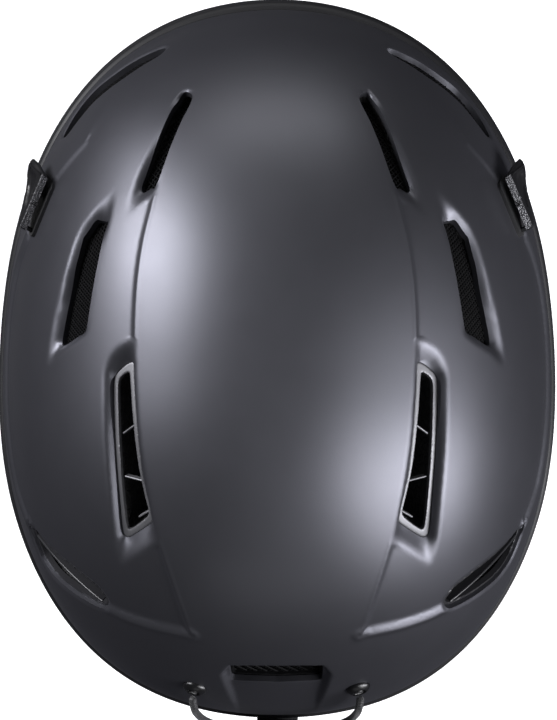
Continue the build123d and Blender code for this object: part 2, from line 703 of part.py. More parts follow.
# ---------------------------------------------------------------- fit system: gear and racks
DIAL_Y, DIAL_Z = 96.0, -24.0        # middle of the racks on the dial axis, which runs along Y
RACK_FRONT, RACK_BACK = DIAL_Y - 1.5, DIAL_Y + 1.5      # slot for racks and pinion
PITCH_R = 6.0                       # pinion pitch radius
TEETH = 12
PRESSURE_ANGLE = math.radians(20)
PITCH = 2 * math.pi * PITCH_R / TEETH
SHAFT_R = 3.9


def dial_rod(radius, length, y, x=0.0, z=0.0):
    """rod along Y from y, placed x and z from the dial axis"""
    return rod(radius, length, (x, y, DIAL_Z + z), ALONG_Y)


def gear_outline():
    """involute teeth, one of them straight up"""
    base_r = PITCH_R * math.cos(PRESSURE_ANGLE)
    tip_r, root_r = PITCH_R + 0.85, PITCH_R - 1.05
    half_tooth = math.pi / (2 * TEETH) - 0.022
    base_half = half_tooth + math.tan(PRESSURE_ANGLE) - PRESSURE_ANGLE
    flank = []
    for i in range(6):
        r = base_r + (tip_r - base_r) * i / 5
        roll = math.acos(base_r / r)
        flank.append((r, base_half - (math.tan(roll) - roll)))
    polar = []
    for i in range(TEETH):
        middle = 2 * math.pi * i / TEETH + math.pi / 2
        polar.append((root_r, middle - base_half - 0.03))
        polar += [(r, middle - half) for r, half in flank]
        polar += [(r, middle + half) for r, half in flank[::-1]]
        polar.append((root_r, middle + base_half + 0.03))
    return [(r * math.cos(a), RACK_FRONT + 0.1, DIAL_Z + r * math.sin(a)) for r, a in polar]


def pinion_gear():
    gear = prism(gear_outline(), Vector(0, 2.8, 0))
    gear = gear + dial_rod(SHAFT_R, 10.1, RACK_BACK - 0.1)
    return (gear - dial_rod(1.25, 30, RACK_FRONT - 5)).solids()[0]


def rack(side):
    """toothed bar facing the pinion: the left one runs above it, the right one below"""
    x_from, x_to = span(side, -18.5, 32)
    tip, root, back = 0.6, 1.15, 4.6        # from the pitch line
    half_tooth = PITCH / 4 - 0.13
    slope = math.tan(PRESSURE_ANGLE)
    # the pinion has a tooth straight up and one straight down, so each rack has a gap at x = 0
    phase = PITCH / 2
    first = math.ceil((x_from - phase) / PITCH + 0.5)
    last = math.floor((x_to - phase) / PITCH - 0.5)
    outline = [(x_from, root)]
    for i in range(first, last + 1):
        x = phase + i * PITCH
        outline += [(x - half_tooth - root * slope, root), (x - half_tooth + tip * slope, -tip),
                    (x + half_tooth - tip * slope, -tip), (x + half_tooth + root * slope, root)]
    outline += [(x_to, root), (x_to, back), (x_from, back)]
    pitch_z = DIAL_Z + side * PITCH_R
    points = [(x, RACK_FRONT + 0.15, pitch_z + side * out) for x, out in outline]
    return prism(points, Vector(0, 2.7, 0))


# ---------------------------------------------------------------- fit system: bands
# left band centre line in plan (x, y)
BAND_PLAN = [
    (30.0, DIAL_Y), (46.0, DIAL_Y - 0.2), (56.0, 88.0), (64.0, 74.0), (70.5, 55.0),
    (75.0, 30.0), (76.8, 0.0), (76.0, -34.0)]
BAND_T = 1.6
# side-view outline (y, z)
BAND_VIEW = [
    (110, -34.4), (90, -34.0), (74, -21), (52, 6), (30, 22), (6, 30), (-40, 31), (-40, 44),
    (2, 44), (34, 38), (60, 20), (80, -5), (88, -13.2), (110, -13.6)]
BAND_HOLE_R, BAND_HOLE_Y, BAND_HOLE_STEP = 1.6, 60, 13      # the row runs forwards from y = 60
BAND_HOLE_Z = (8.0, 20.6, 28.8, 33.2, 36.4, 37.4, 37.4)


def fit_band(side):
    points = [Vector(x * side, y, -60) for x, y in BAND_PLAN]
    wall = Solid.extrude(ribbon_face(points, BAND_T, Vector(0, 0, -1), 60), Vector(0, 0, 130))
    strip = wall & side_prism(BAND_VIEW)
    # the strip starts at x = 46, where the neck takes over towards the rack
    strip = strip - box(92, 60, 80, 80, -70)
    neck_z = DIAL_Z + (PITCH_R + 2.9) * side
    neck = box(22, 2.6, 3.2, DIAL_Y - 1.3, neck_z - 1.6, x=side * 39)
    band = largest(rack(side) + neck + strip)
    for i, z in enumerate(BAND_HOLE_Z):
        start = (span(side, 60, 120)[0], BAND_HOLE_Y - i * BAND_HOLE_STEP, z)
        band = band - rod(BAND_HOLE_R, 60, start, (1, 0, 0))
    return largest(band)


save(pinion_gear(), "pinion_gear")
for tag, side in SIDES.items():
    save(fit_band(side), f"fit_band_{tag}")

# ---------------------------------------------------------------- fit system: dial
HOUSING_W, HOUSING_H = 70, 30
COVER_Y, COVER_T = RACK_BACK + 0.2, 2.2
COVER_BACK = COVER_Y + COVER_T
COVER_SCREWS = [(x, z) for x in (-29, 29) for z in (-11.5, 11.5)]   # from the dial axis
KNOB_Y = RACK_BACK + 4.1
KNOB_R = 17.0
KNOB_FLUTES = 24
KNOB_RECESS_Y = KNOB_Y + 6.8        # seat of the knob screw's head


def dial_housing():
    """plate on the head side of the racks, with a ledge above and one below them"""
    plate = box(HOUSING_W, 2.6, HOUSING_H, RACK_FRONT - 2.9, DIAL_Z - HOUSING_H / 2)
    housing = rounded(plate, Axis.Y, 3.0)
    housing = (housing + box(60, 3.5, 3.4, RACK_FRONT - 0.4, DIAL_Z + 11.4)
               + box(60, 3.5, 3.4, RACK_FRONT - 0.4, DIAL_Z - 14.8))
    return housing.solids()[0]


def dial_cover():
    cover = box(HOUSING_W, COVER_T, HOUSING_H, COVER_Y, DIAL_Z - HOUSING_H / 2)
    cover = rounded(cover, Axis.Y, 5.0)
    cover = cover + dial_rod(15.5, 1.2, COVER_BACK)
    cover = cover - dial_rod(SHAFT_R + 0.08, 30, RACK_FRONT - 5)
    for x, z in COVER_SCREWS:
        cover = cover - dial_rod(1.3, 30, RACK_FRONT - 5, x, z)
    return cover.solids()[0]


def cover_screw(x, z):
    shank = dial_rod(1.2, 2.1, RACK_BACK + 0.3, x, z)
    return (shank + dial_rod(2.2, 1.2, COVER_BACK, x, z)).solids()[0]


def dial_knob():
    knob = dial_rod(KNOB_R, 8.4, KNOB_Y)
    knob = fillet(knob.edges().filter_by(GeomType.CIRCLE).sort_by(Axis.Y)[-1], 1.6)
    flute_ring_r = KNOB_R + 0.6
    for i in range(KNOB_FLUTES):
        angle = 2 * math.pi * i / KNOB_FLUTES
        knob = knob - dial_rod(1.3, 30, KNOB_Y - 1, flute_ring_r * math.cos(angle),
                               flute_ring_r * math.sin(angle))
    # spring recess, shaft bore, screw hole, screw head recess
    knob = knob - dial_rod(12.0, 2.4, KNOB_Y - 0.01)
    knob = knob - dial_rod(SHAFT_R + 0.02, 7.0, KNOB_Y - 1)
    knob = knob - dial_rod(1.3, 30, KNOB_Y - 1)
    knob = knob - dial_rod(3.2, 3.0, KNOB_RECESS_Y)
    return knob.solids()[0]


def knob_screw():
    screw = dial_rod(1.15, 9.0, KNOB_Y - 2.2) + dial_rod(2.8, 1.2, KNOB_RECESS_Y)
    return screw.solids()[0]


def detent_spring(keep_z):
    """arc of a thin ring, kept in a 12 mm band from keep_z above the dial axis"""
    arc = dial_rod(10.6, 2.0, KNOB_Y - 0.5) - dial_rod(9.6, 4, KNOB_Y - 1)
    return (arc & box(24, 4, 12, KNOB_Y - 1, DIAL_Z + keep_z)).solids()[0]


save(dial_housing(), "dial_housing")
save(dial_cover(), "dial_cover")
save_set([cover_screw(x, z) for x, z in COVER_SCREWS], "cover_screws")
save(dial_knob(), "dial_knob")
save(knob_screw(), "knob_screw")
save_set([detent_spring(keep_z) for keep_z in (1.0, -13.0)], "detent_springs")

# ---------------------------------------------------------------- stem, rail and nape pads
STEM_W, STEM_Y, STEM_Z = 17.6, 108.0, -6.6


def height_stem():
    """upright blade with a foot reaching forwards over the dial housing"""
    stem = box(STEM_W, 2.2, 45.6, STEM_Y, STEM_Z)
    stem = stem + box(STEM_W, 12.2, 2.6, 98.0, STEM_Z)
    stem = largest(stem + box(STEM_W, 4.9, 3.05, 94.7, -8.95))
    # notches in the front face
    for i in range(3):
        stem = stem - box(8, 0.7, 1.4, STEM_Y - 0.01, 16 + i * 6.0)
    return largest(stem)


def height_rail():
    """block with a channel for the stem, open at the front"""
    rail = box(28, 6.9, 30, 106.2, 10) - box(18.0, 2.6, 60, STEM_Y - 0.2, 0)
    return largest(rail - box(12.0, 3, 60, 105, 0))


def nape_pad(side):
    pad = box(34, 7.0, 32, RACK_FRONT - 10.2, DIAL_Z - 16, x=side * 21)
    return rounded(pad, Axis.Y, 8.0).solids()[0]


save(height_stem(), "height_stem")
save(height_rail(), "height_rail")
for tag, side in SIDES.items():
    save(nape_pad(side), f"nape_pad_{tag}")
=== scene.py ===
"""Helmet with a vented hard shell, foam liner, goggle clips, ear pads, lining and chin strap.

The wearer faces -Y, the wearer's left is +X and up is +Z. Lengths are millimetres until a
mesh is made (MM turns them into metres); lights, floor and camera are in metres.

The shell is drawn in a flat domain laid over the form from the crown. A domain point (u, v)
is rho * (sin psi, -cos psi): psi is the angle from the front towards the wearer's left, and
rho the length along the standard profile from the crown. "Offset" is the distance a point
stands outside the form; negative offsets lie inside it.
"""
import math

import bmesh
import bpy
import numpy as np
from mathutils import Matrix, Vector
from mathutils.geometry import delaunay_2d_cdt
from mathutils.kdtree import KDTree


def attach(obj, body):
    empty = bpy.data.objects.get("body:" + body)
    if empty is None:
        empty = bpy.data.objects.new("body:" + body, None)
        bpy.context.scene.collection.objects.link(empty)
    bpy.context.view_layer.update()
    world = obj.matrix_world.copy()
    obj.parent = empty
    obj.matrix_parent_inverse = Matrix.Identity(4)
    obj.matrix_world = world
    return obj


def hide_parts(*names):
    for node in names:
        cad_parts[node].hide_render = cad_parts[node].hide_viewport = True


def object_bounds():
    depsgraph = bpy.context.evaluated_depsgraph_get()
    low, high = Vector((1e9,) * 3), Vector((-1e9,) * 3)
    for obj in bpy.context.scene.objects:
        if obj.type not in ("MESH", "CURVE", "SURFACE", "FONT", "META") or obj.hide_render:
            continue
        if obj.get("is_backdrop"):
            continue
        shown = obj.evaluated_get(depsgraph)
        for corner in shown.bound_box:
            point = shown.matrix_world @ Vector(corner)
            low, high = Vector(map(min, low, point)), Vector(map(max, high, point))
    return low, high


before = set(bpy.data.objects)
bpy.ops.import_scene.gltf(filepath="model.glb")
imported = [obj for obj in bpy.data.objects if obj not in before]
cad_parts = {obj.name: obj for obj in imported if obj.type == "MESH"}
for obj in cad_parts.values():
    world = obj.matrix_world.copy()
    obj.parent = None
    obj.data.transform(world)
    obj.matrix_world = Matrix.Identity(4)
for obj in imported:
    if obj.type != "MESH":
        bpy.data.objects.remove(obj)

for default_name in ("Cube", "Light", "Camera"):
    if default_name in bpy.data.objects and default_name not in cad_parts:
        bpy.data.objects.remove(bpy.data.objects[default_name])

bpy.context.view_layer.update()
MM = 0.001
SIDES = (("left", 1), ("right", -1))

# ------------------------------------------------------------------ outer form
# plan radius at the equator, as a cosine series in psi
RADIUS_COSINES = [124.0053, 4.4019, 16.3294, 1.9246, -0.8477, -0.0261, -0.6194, 0.0214, -0.2083]
CENTRE_Y = 6.0
EQUATOR_Z = 15.0
DOME_H = 137.0          # crown above the equator
PROFILE_R = 122.0       # radius of the standard profile that measures rho
ROUNDNESS = 2.25        # superellipse power of the profile
TUCK = 0.16             # share of the radius lost at TUCK_DROP below the equator
TUCK_DROP = 77.0
TUCK_POWER = 1.6
FOAM_SIDE, FOAM_END, FOAM_TOP = 22.0, 26.5, 24.0    # shell and foam thickness together
CAVITY_H = DOME_H - FOAM_TOP
INSIDE_POINT = np.array([0, CENTRE_Y, 30.0])

quarter_turn = np.linspace(0, 1, 4001) * math.pi / 2
SPREAD = np.sin(quarter_turn) ** (2 / ROUNDNESS)    # share of the radius reached along the profile
RISE = np.cos(quarter_turn) ** (2 / ROUNDNESS)      # share of the height left
ARC = np.concatenate([[0], np.cumsum(np.hypot(np.diff(PROFILE_R * SPREAD),
                                              np.diff(DOME_H * RISE)))])
ARC_EQUATOR = float(ARC[-1])


def radius(psi):
    return sum(c * np.cos(i * psi) for i, c in enumerate(RADIUS_COSINES))


def foam_wall(psi):
    return FOAM_SIDE + (FOAM_END - FOAM_SIDE) * np.cos(psi) ** 2


def tucked(drop, tuck=TUCK):
    """share of the radius left at a drop below the equator"""
    return 1 - tuck * (drop / TUCK_DROP) ** TUCK_POWER


def on_profile(psi, rho, reach, height, tuck):
    """points of a form with the given plan radius and height"""
    low = rho > ARC_EQUATOR
    drop = np.where(low, rho - ARC_EQUATOR, 0.0)
    r = reach * np.where(low, tucked(drop, tuck), np.interp(rho, ARC, SPREAD))
    z = np.where(low, EQUATOR_Z - drop, EQUATOR_Z + height * np.interp(rho, ARC, RISE))
    return np.stack([r * np.sin(psi), CENTRE_Y - r * np.cos(psi), z], -1)


def dome(psi, rho, off=0.0):
    """points of the outer form at an offset"""
    psi, rho = np.asarray(psi, float), np.asarray(rho, float)
    return on_profile(psi, rho, radius(psi) + off, DOME_H + off, TUCK)


def cavity(psi, rho, off=0.0):
    """points of the head cavity's wall, moved outwards by off"""
    psi, rho = np.asarray(psi, float), np.asarray(rho, float)
    return on_profile(psi, rho, radius(psi) + off - foam_wall(psi), DOME_H + off - FOAM_TOP, 0.0)


def to_domain(psi, rho):
    return np.stack([rho * np.sin(psi), -rho * np.cos(psi)], -1)


def to_polar(uv):
    uv = np.asarray(uv, float)
    return np.arctan2(uv[..., 0], -uv[..., 1]), np.hypot(uv[..., 0], uv[..., 1])


def lift(uv, off=0.0):
    """domain points laid on the form"""
    return dome(*to_polar(uv), off)


def from_plan(pts, off=0.0, in_cavity=False):
    """plan (x, y) to domain; off is the offset at which a point shows at that plan position"""
    p = np.asarray(pts, float)
    psi = np.arctan2(p[:, 0], -(p[:, 1] - CENTRE_Y))
    reach = radius(psi) - foam_wall(psi) if in_cavity else radius(psi) + off
    s = np.hypot(p[:, 0], p[:, 1] - CENTRE_Y) / reach
    return to_domain(psi, np.interp(np.minimum(s, 0.99999), SPREAD, ARC))


def arc_at(z, height=DOME_H):
    """rho at height z, on a form of the given height"""
    if z >= EQUATOR_Z:
        return float(np.interp(-(z - EQUATOR_Z) / height, -RISE, ARC))
    return ARC_EQUATOR + EQUATOR_Z - z


def from_side(pts):
    """(y, z) seen from the wearer's left to domain"""
    out = []
    for y, z in pts:
        rho = arc_at(z)
        s = float(np.interp(rho, ARC, SPREAD)) if z >= EQUATOR_Z else tucked(EQUATOR_Z - z)
        low, high = 0.0, math.pi
        for _ in range(48):
            psi = (low + high) / 2
            if CENTRE_Y - s * radius(psi) * math.cos(psi) < y:
                low = psi
            else:
                high = psi
        psi = (low + high) / 2
        out.append([rho * math.sin(psi), -rho * math.cos(psi)])
    return np.array(out)


def from_cavity_wall(pts):
    """(angle from the front in degrees, z) on the cavity wall to domain"""
    return np.array([to_domain(math.radians(a), arc_at(z, CAVITY_H)) for a, z in pts])


# ------------------------------------------------------------------ lines and distances
def smooth(x):
    x = np.clip(x, 0, 1)
    return x * x * (3 - 2 * x)


def ridge_shape(x, width):
    """bell of height 1 round zero"""
    return np.exp(-(x / width) ** 2)


def rounded(d, edge):
    """quarter-round profile, 0 at an outline and 1 from edge inwards"""
    return np.sqrt(np.clip(1 - (1 - np.clip(d / edge, 0, 1)) ** 2, 0, 1))


def chaikin(p, rounds, keep):
    """closed loop with its corners cut"""
    p = np.asarray(p, float)
    for _ in range(rounds):
        q = np.roll(p, -1, 0)
        p = np.stack([p * (1 - keep) + q * keep, p * keep + q * (1 - keep)], 1)
        p = p.reshape(-1, p.shape[-1])
    return p


def resample(p, step, closed=True):
    p = np.asarray(p, float)
    q = np.vstack([p, p[:1]]) if closed else p
    move = np.diff(q, axis=0)
    d = np.hypot(*move.T) if p.shape[1] == 2 else np.linalg.norm(move, axis=1)
    c = np.concatenate([[0], np.cumsum(d)])
    n = max(3, int(round(c[-1] / step)))
    t = np.linspace(0, c[-1], n + 1)
    if closed:
        t = t[:-1]
    return np.stack([np.interp(t, c, q[:, i]) for i in range(p.shape[1])], -1)


def catmull(p, closed=False, n=8):
    """smooth curve through the points, n steps between each two"""
    p = np.asarray(p, float)
    m = len(p)
    out = []
    for i in range(m if closed else m - 1):
        p0 = p[(i - 1) % m] if closed or i > 0 else 2 * p[0] - p[1]
        p1, p2 = p[i], p[(i + 1) % m]
        p3 = p[(i + 2) % m] if closed or i + 2 < m else 2 * p[-1] - p[-2]
        t = np.linspace(0, 1, n, endpoint=False)[:, None]
        out.append(0.5 * ((2 * p1) + (-p0 + p2) * t + (2 * p0 - 5 * p1 + 4 * p2 - p3) * t ** 2
                          + (-p0 + 3 * p1 - 3 * p2 + p3) * t ** 3))
    out = np.vstack(out)
    return out if closed else np.vstack([out, p[-1:]])


def mirror(p):
    q = np.array(p, float)
    q[:, 0] *= -1
    return q[::-1]


def offset_loop(p, d, closed=True):
    """line moved sideways by d; a closed loop grows when d is positive"""
    p = np.asarray(p, float)
    t = np.roll(p, -1, 0) - np.roll(p, 1, 0) if closed else np.gradient(p, axis=0)
    t /= np.maximum(np.hypot(*t.T)[:, None], 1e-9)
    n = np.stack([t[:, 1], -t[:, 0]], -1)
    if closed:
        after = np.roll(p, -1, 0)
        if 0.5 * np.sum(p[:, 0] * after[:, 1] - after[:, 0] * p[:, 1]) < 0:
            n = -n
    return p + n * d


def inside(poly, pts):
    poly, pts = np.asarray(poly, float), np.asarray(pts, float)
    result = np.zeros(len(pts), bool)
    near_by = np.where(((pts >= poly.min(0)) & (pts <= poly.max(0))).all(1))[0]
    if not len(near_by):
        return result
    x, y = pts[near_by, 0], pts[near_by, 1]
    odd = np.zeros(len(near_by), bool)
    j = len(poly) - 1
    for i in range(len(poly)):
        xi, yi = poly[i]
        xj, yj = poly[j]
        if yi != yj:
            odd ^= ((yi > y) != (yj > y)) & (x < (xj - xi) * (y - yi) / (yj - yi) + xi)
        j = i
    result[near_by] = odd
    return result


def line_dist(pts, line, limit, closed=True):
    """distance in 3D from points to a polyline, capped at limit"""
    line = np.vstack([line, line[:1]]) if closed else line
    d = np.full(len(pts), float(limit))
    low, high = line.min(0) - limit, line.max(0) + limit
    near_by = np.where(((pts >= low) & (pts <= high)).all(1))[0]
    if not len(near_by):
        return d
    a = line[:-1]
    ab = line[1:] - a
    length2 = np.maximum((ab ** 2).sum(1), 1e-12)
    batch = 4000
    for k in range(0, len(near_by), batch):
        some = near_by[k:k + batch]
        p = pts[some][:, None, :]
        t = np.clip(((p - a) * ab).sum(2) / length2, 0, 1)
        q = a + ab * t[..., None]
        d[some] = np.minimum(d[some], np.sqrt(((p - q) ** 2).sum(2)).min(1))
    return d


def flat_dist(pts, line, limit=60.0, closed=True):
    """line_dist for flat points"""
    line = np.asarray(line, float)
    return line_dist(np.column_stack([pts, np.zeros(len(pts))]),
                     np.column_stack([line, np.zeros(len(line))]), limit, closed)


def form_dist(pts, line, limit, closed=True):
    """distance from points in space to a domain line laid on the form"""
    return line_dist(pts, lift(line), limit, closed)


def directions(path):
    t = np.gradient(path, axis=0)
    return t / np.linalg.norm(t, axis=1)[:, None]


def surface_frame(x, y):
    """domain point at a plan position, the form's two tangents there and its normal"""
    c = from_plan([(x, y)])[0]
    du, dv = (lift(c + e) - lift(c - e) for e in np.array([(0.5, 0), (0, 0.5)]))
    normal = np.cross(du, dv)
    return c, du, dv, normal / np.linalg.norm(normal)


def circle_on_form(x, y, r, n=28):
    """domain outline of a true circle on the form"""
    c, du, dv, normal = surface_frame(x, y)
    t1 = du / np.linalg.norm(du)
    t2 = np.cross(normal, t1)
    metric = np.array([[du @ du, du @ dv], [du @ dv, dv @ dv]])
    out = []
    for a in np.linspace(0, 2 * math.pi, n, endpoint=False):
        w = (t1 * math.cos(a) + t2 * math.sin(a)) * r
        out.append(c + np.linalg.solve(metric, np.array([w @ du, w @ dv])))
    return np.array(out)


# ------------------------------------------------------------------ outlines
# plan (x, y) on the wearer's left
FRONT_VENT = [
    (31.2, -100.2), (32.5, -96.5), (35.6, -90.6), (39.6, -80.8), (43.0, -70.8), (44.8, -65.9),
    (49.9, -62.4), (50.7, -64.0), (47.8, -71.0), (43.8, -80.4), (39.2, -90.7), (35.2, -97.8),
    (32.6, -100.4)]
FRONT_RECESS = [
    (31.0, -100.8), (34.8, -99.6), (38.8, -95.2), (44.0, -85.9), (49.2, -75.8), (53.3, -67.0),
    (58.2, -53.5), (50.9, -60.6), (44.6, -64.9), (42.8, -70.6), (39.4, -80.6), (35.4, -90.4),
    (32.3, -96.3)]
SIDE_VENT = [
    (63.8, -53.8), (65.3, -44.6), (68.4, -29.2), (71.1, -11.9), (71.9, -10.5), (79.4, -5.4),
    (81.2, -5.3), (78.8, -18.0), (75.6, -32.7), (72.0, -44.7), (70.0, -48.0), (66.6, -52.5)]
SIDE_RECESS = [
    (60.0, -64.4), (62.6, -61.7), (68.2, -55.9), (73.0, -50.0), (75.6, -44.7), (79.8, -31.0),
    (83.2, -18.1), (85.7, -4.6), (86.7, 3.0), (81.6, -3.2), (78.6, -5.0), (71.4, -9.9),
    (70.8, -11.7), (68.1, -29.2), (65.0, -44.6), (61.4, -58.6)]
POCKET = [
    (53.3, -6.9), (56.9, -5.8), (61.0, -3.0), (63.6, 0.6), (64.5, 6.0), (64.5, 18.0),
    (64.1, 33.6), (62.8, 49.0), (61.0, 69.5), (59.0, 78.0), (55.0, 74.6), (46.8, 69.1),
    (44.7, 67.8), (45.6, 61.0), (48.8, 44.0), (51.0, 28.0), (52.2, 10.0), (52.7, 0.0)]
FRAME_OUT = [
    (52.9, 0.9), (54.0, 0.6), (56.5, 1.9), (60.0, 5.2), (61.0, 8.2), (60.9, 18.7), (60.1, 35.3),
    (59.2, 47.8), (57.9, 65.2), (56.4, 66.9), (54.5, 66.7), (46.5, 61.4), (45.8, 60.0),
    (46.8, 55.1), (49.8, 44.0), (51.1, 31.9), (52.2, 18.6), (52.8, 7.4)]
FRAME_IN = [
    (54.8, 4.1), (57.2, 5.4), (59.0, 7.4), (59.3, 10.7), (59.0, 25.3), (58.0, 45.2),
    (56.3, 63.6), (54.6, 64.2), (48.0, 59.1), (47.5, 57.1), (48.7, 52.6), (51.2, 41.4),
    (52.7, 30.2), (53.8, 18.6), (54.4, 7.8)]
FRAME_RIBS = [((51.6, 23.5), (57.2, 27.6)), ((50.2, 45.4), (56.6, 43.8)),
              ((46.8, 56.4), (51.4, 59.1))]
EXHAUST = [
    (95.6, 61.2), (92.7, 66.6), (85.4, 73.9), (75.7, 81.0), (67.8, 86.9), (63.9, 92.6),
    (64.4, 94.3), (66.9, 94.4), (75.9, 90.2), (85.0, 83.8), (90.1, 77.0), (93.4, 68.8)]
BROW_SLOT = [
    (41.9, -120.2), (44.7, -120.0), (54.4, -115.7), (62.6, -110.3), (69.6, -105.1),
    (75.1, -99.0), (79.3, -92.8), (82.8, -85.9), (81.0, -86.2), (75.9, -93.0), (70.5, -99.4),
    (64.9, -104.1), (58.0, -108.9), (51.5, -113.3), (44.6, -117.2)]
CREASE = [
    (45.3, -63.5), (47.2, -55.5), (49.8, -44.4), (51.7, -31.2), (52.6, -18.0), (52.8, -5.5),
    (52.4, 8.5), (51.3, 24.6), (49.0, 43.5), (45.8, 60.8), (42.4, 73.0), (38.0, 86.9),
    (32.2, 104.2)]
GROOVE = [
    (32.2, 104.2), (35.1, 103.2), (47.4, 100.6), (57.6, 97.4), (63.1, 95.0), (72.9, 90.6),
    (82.0, 84.8), (88.4, 78.4), (92.6, 70.1), (95.3, 62.3)]
FRONT_CREASE = [(91.5, -60.0), (85.8, -68.8), (82.0, -73.6), (78.0, -78.1), (73.2, -83.0)]
PANEL_START = [(31.2, -100.2), (35.6, -90.6), (39.6, -80.8), (43.0, -70.8), (45.3, -63.5)]
PANEL_FRONT = [(73.2, -83.0), (64.0, -97.0), (46.0, -106.0), (31.2, -100.2)]
# plan (x, y), across the middle
REAR_VENT = [
    (-18.4, 119.1), (-17.0, 117.7), (-0.4, 118.2), (0.4, 118.2), (17.0, 117.7), (18.4, 119.1),
    (18.0, 124.4), (17.0, 125.2), (0.3, 125.8), (-0.3, 125.8), (-17.0, 125.2), (-18.0, 124.4)]
CHANNEL = [
    (-18.4, 116.3), (18.4, 116.3), (21.6, 119.9), (19.6, 126.0), (17.6, 131.3), (16.2, 135.0),
    (15.6, 137.0), (-15.6, 137.0), (-16.2, 135.0), (-17.6, 131.3), (-19.6, 126.0),
    (-21.6, 119.9)]
# side view (y, z)
RIDGE = [
    (64.0, 61.5), (52.8, 56.0), (46.3, 54.0), (29.4, 52.0), (15.7, 50.2), (-4.7, 49.3),
    (-18.4, 50.5), (-35.3, 56.0), (-47.0, 65.0)]
RIM = [     # lower edge of the helmet
    (-150, 44), (-120, 43.5), (-96, 41.5), (-72, 37), (-52, 31.5), (-40, 28.6), (-20, 28),
    (10, 28), (40, 28), (52, 22), (62, 8), (72, -6), (84, -12), (110, -10), (132, -7), (150, -6)]
PARTING = [    # where upper and lower shell meet
    (-150, 54), (-120, 53.5), (-90, 52), (-60, 47.5), (-30, 42), (0, 39), (40, 38), (70, 33),
    (100, 27), (150, 22)]
CORD_XY = (31.3, 125.6)     # eyelet of the rear cord
EYELET_HOLE_R = 3.5


def smooth_loop(pts, step=0.8):
    return resample(chaikin(pts, 2, 0.2), step)


def two_level(pts, edge_points, shallow, deep):
    """domain outline that shows at shallow along its first points and at deep elsewhere"""
    p = smooth_loop(pts, 0.7)
    d = flat_dist(p, pts[:edge_points], 30.0, closed=False)
    return from_plan(p, shallow + (deep - shallow) * smooth(d / 2.5))


def curve_on_plan(pts):
    return from_plan(resample(catmull(pts), 1.0, False))


def side_line(line, dz=0.0, step=1.5):
    """domain loop all round the helmet at a side-view line raised by dz"""
    curve = catmull(line, n=10)
    half = []
    for psi in np.linspace(0, math.pi, 260):
        z = 30.0
        for _ in range(14):
            if z >= EQUATOR_Z:
                share = max(0, (z - EQUATOR_Z) / DOME_H)
                s = (1 - share ** ROUNDNESS) ** (1 / ROUNDNESS)
            else:
                s = tucked(EQUATOR_Z - z)
            y = CENTRE_Y - s * float(radius(psi)) * math.cos(psi)
            z = float(np.interp(y, curve[:, 0], curve[:, 1])) + dz
        rho = arc_at(z)
        half.append([rho * math.sin(psi), -rho * math.cos(psi)])
    half = np.array(half)
    return resample(np.vstack([half[:-1], half[1:][::-1] * np.array([-1, 1])]), step)


FRAME_DEPTH = -5.1      # offset at which the framed vent's outlines show
front_vent = two_level(FRONT_VENT, 6, 0.0, -4.0)
front_recess = from_plan(smooth_loop(FRONT_RECESS), -0.4)
side_vent = two_level(SIDE_VENT, 5, -1.5, -4.9)
side_recess = from_plan(smooth_loop(SIDE_RECESS), -1.5)
pocket = from_plan(smooth_loop(POCKET), -0.8)
frame_out = from_plan(smooth_loop(FRAME_OUT, 0.7), FRAME_DEPTH)
frame_in = from_plan(smooth_loop(FRAME_IN, 0.7), FRAME_DEPTH)
exhaust = from_plan(smooth_loop(EXHAUST), -0.8)
brow_slot = from_plan(smooth_loop(BROW_SLOT))
rear_vent = from_plan(smooth_loop(REAR_VENT))
channel = from_plan(resample(CHANNEL, 0.9))
eyelet = circle_on_form(*CORD_XY, EYELET_HOLE_R)
crease = curve_on_plan(CREASE)
groove = curve_on_plan(GROOVE)
ridge = from_side(resample(catmull(RIDGE), 1.2, False))
front_crease = curve_on_plan(FRONT_CREASE)
rim_loop = side_line(RIM, step=1.2)

panel_edge = np.vstack([from_plan(resample(PANEL_START, 1.0, False)),
                        crease, groove, ridge, front_crease])
panel = np.vstack([panel_edge, from_plan(resample(PANEL_FRONT, 1.5, False))])
# recess outline, the opening in it, depth
RECESSES = ((front_recess, front_vent, 2.6), (side_recess, side_vent, 3.4),
            (pocket, frame_out, 3.6))


# ------------------------------------------------------------------ triangulation
def lattice(low, high, spacing):
    """triangular grid over a box"""
    row = spacing * math.sqrt(3) / 2
    j0, j1 = int(math.floor(low[1] / row)), int(math.ceil(high[1] / row))
    i0, i1 = int(math.floor(low[0] / spacing)), int(math.ceil(high[0] / spacing))
    gx, gy = np.meshgrid(np.arange(i0, i1 + 1), np.arange(j0, j1 + 1))
    return np.stack([(gx + 0.5 * (gy % 2)) * spacing, gy * row], -1).reshape(-1, 2)


def tree_of(lines, step=0.5):
    """search tree over (line, closed) pairs"""
    pts = []
    for line, closed in lines:
        q = np.vstack([line, line[:1]]) if closed else line
        cum = np.concatenate([[0], np.cumsum(np.hypot(*np.diff(q, axis=0).T))])
        t = np.linspace(0, cum[-1], max(2, int(cum[-1] / step)))
        pts.append(np.stack([np.interp(t, cum, q[:, 0]), np.interp(t, cum, q[:, 1])], -1))
    pts = np.vstack(pts)
    tree = KDTree(len(pts))
    for i, p in enumerate(pts):
        tree.insert((p[0], p[1], 0), i)
    tree.balance()
    return tree


def near(tree, pts):
    """distance from each point to the tree"""
    return np.array([tree.find((p[0], p[1], 0))[2] for p in pts]) if len(pts) else np.zeros(0)


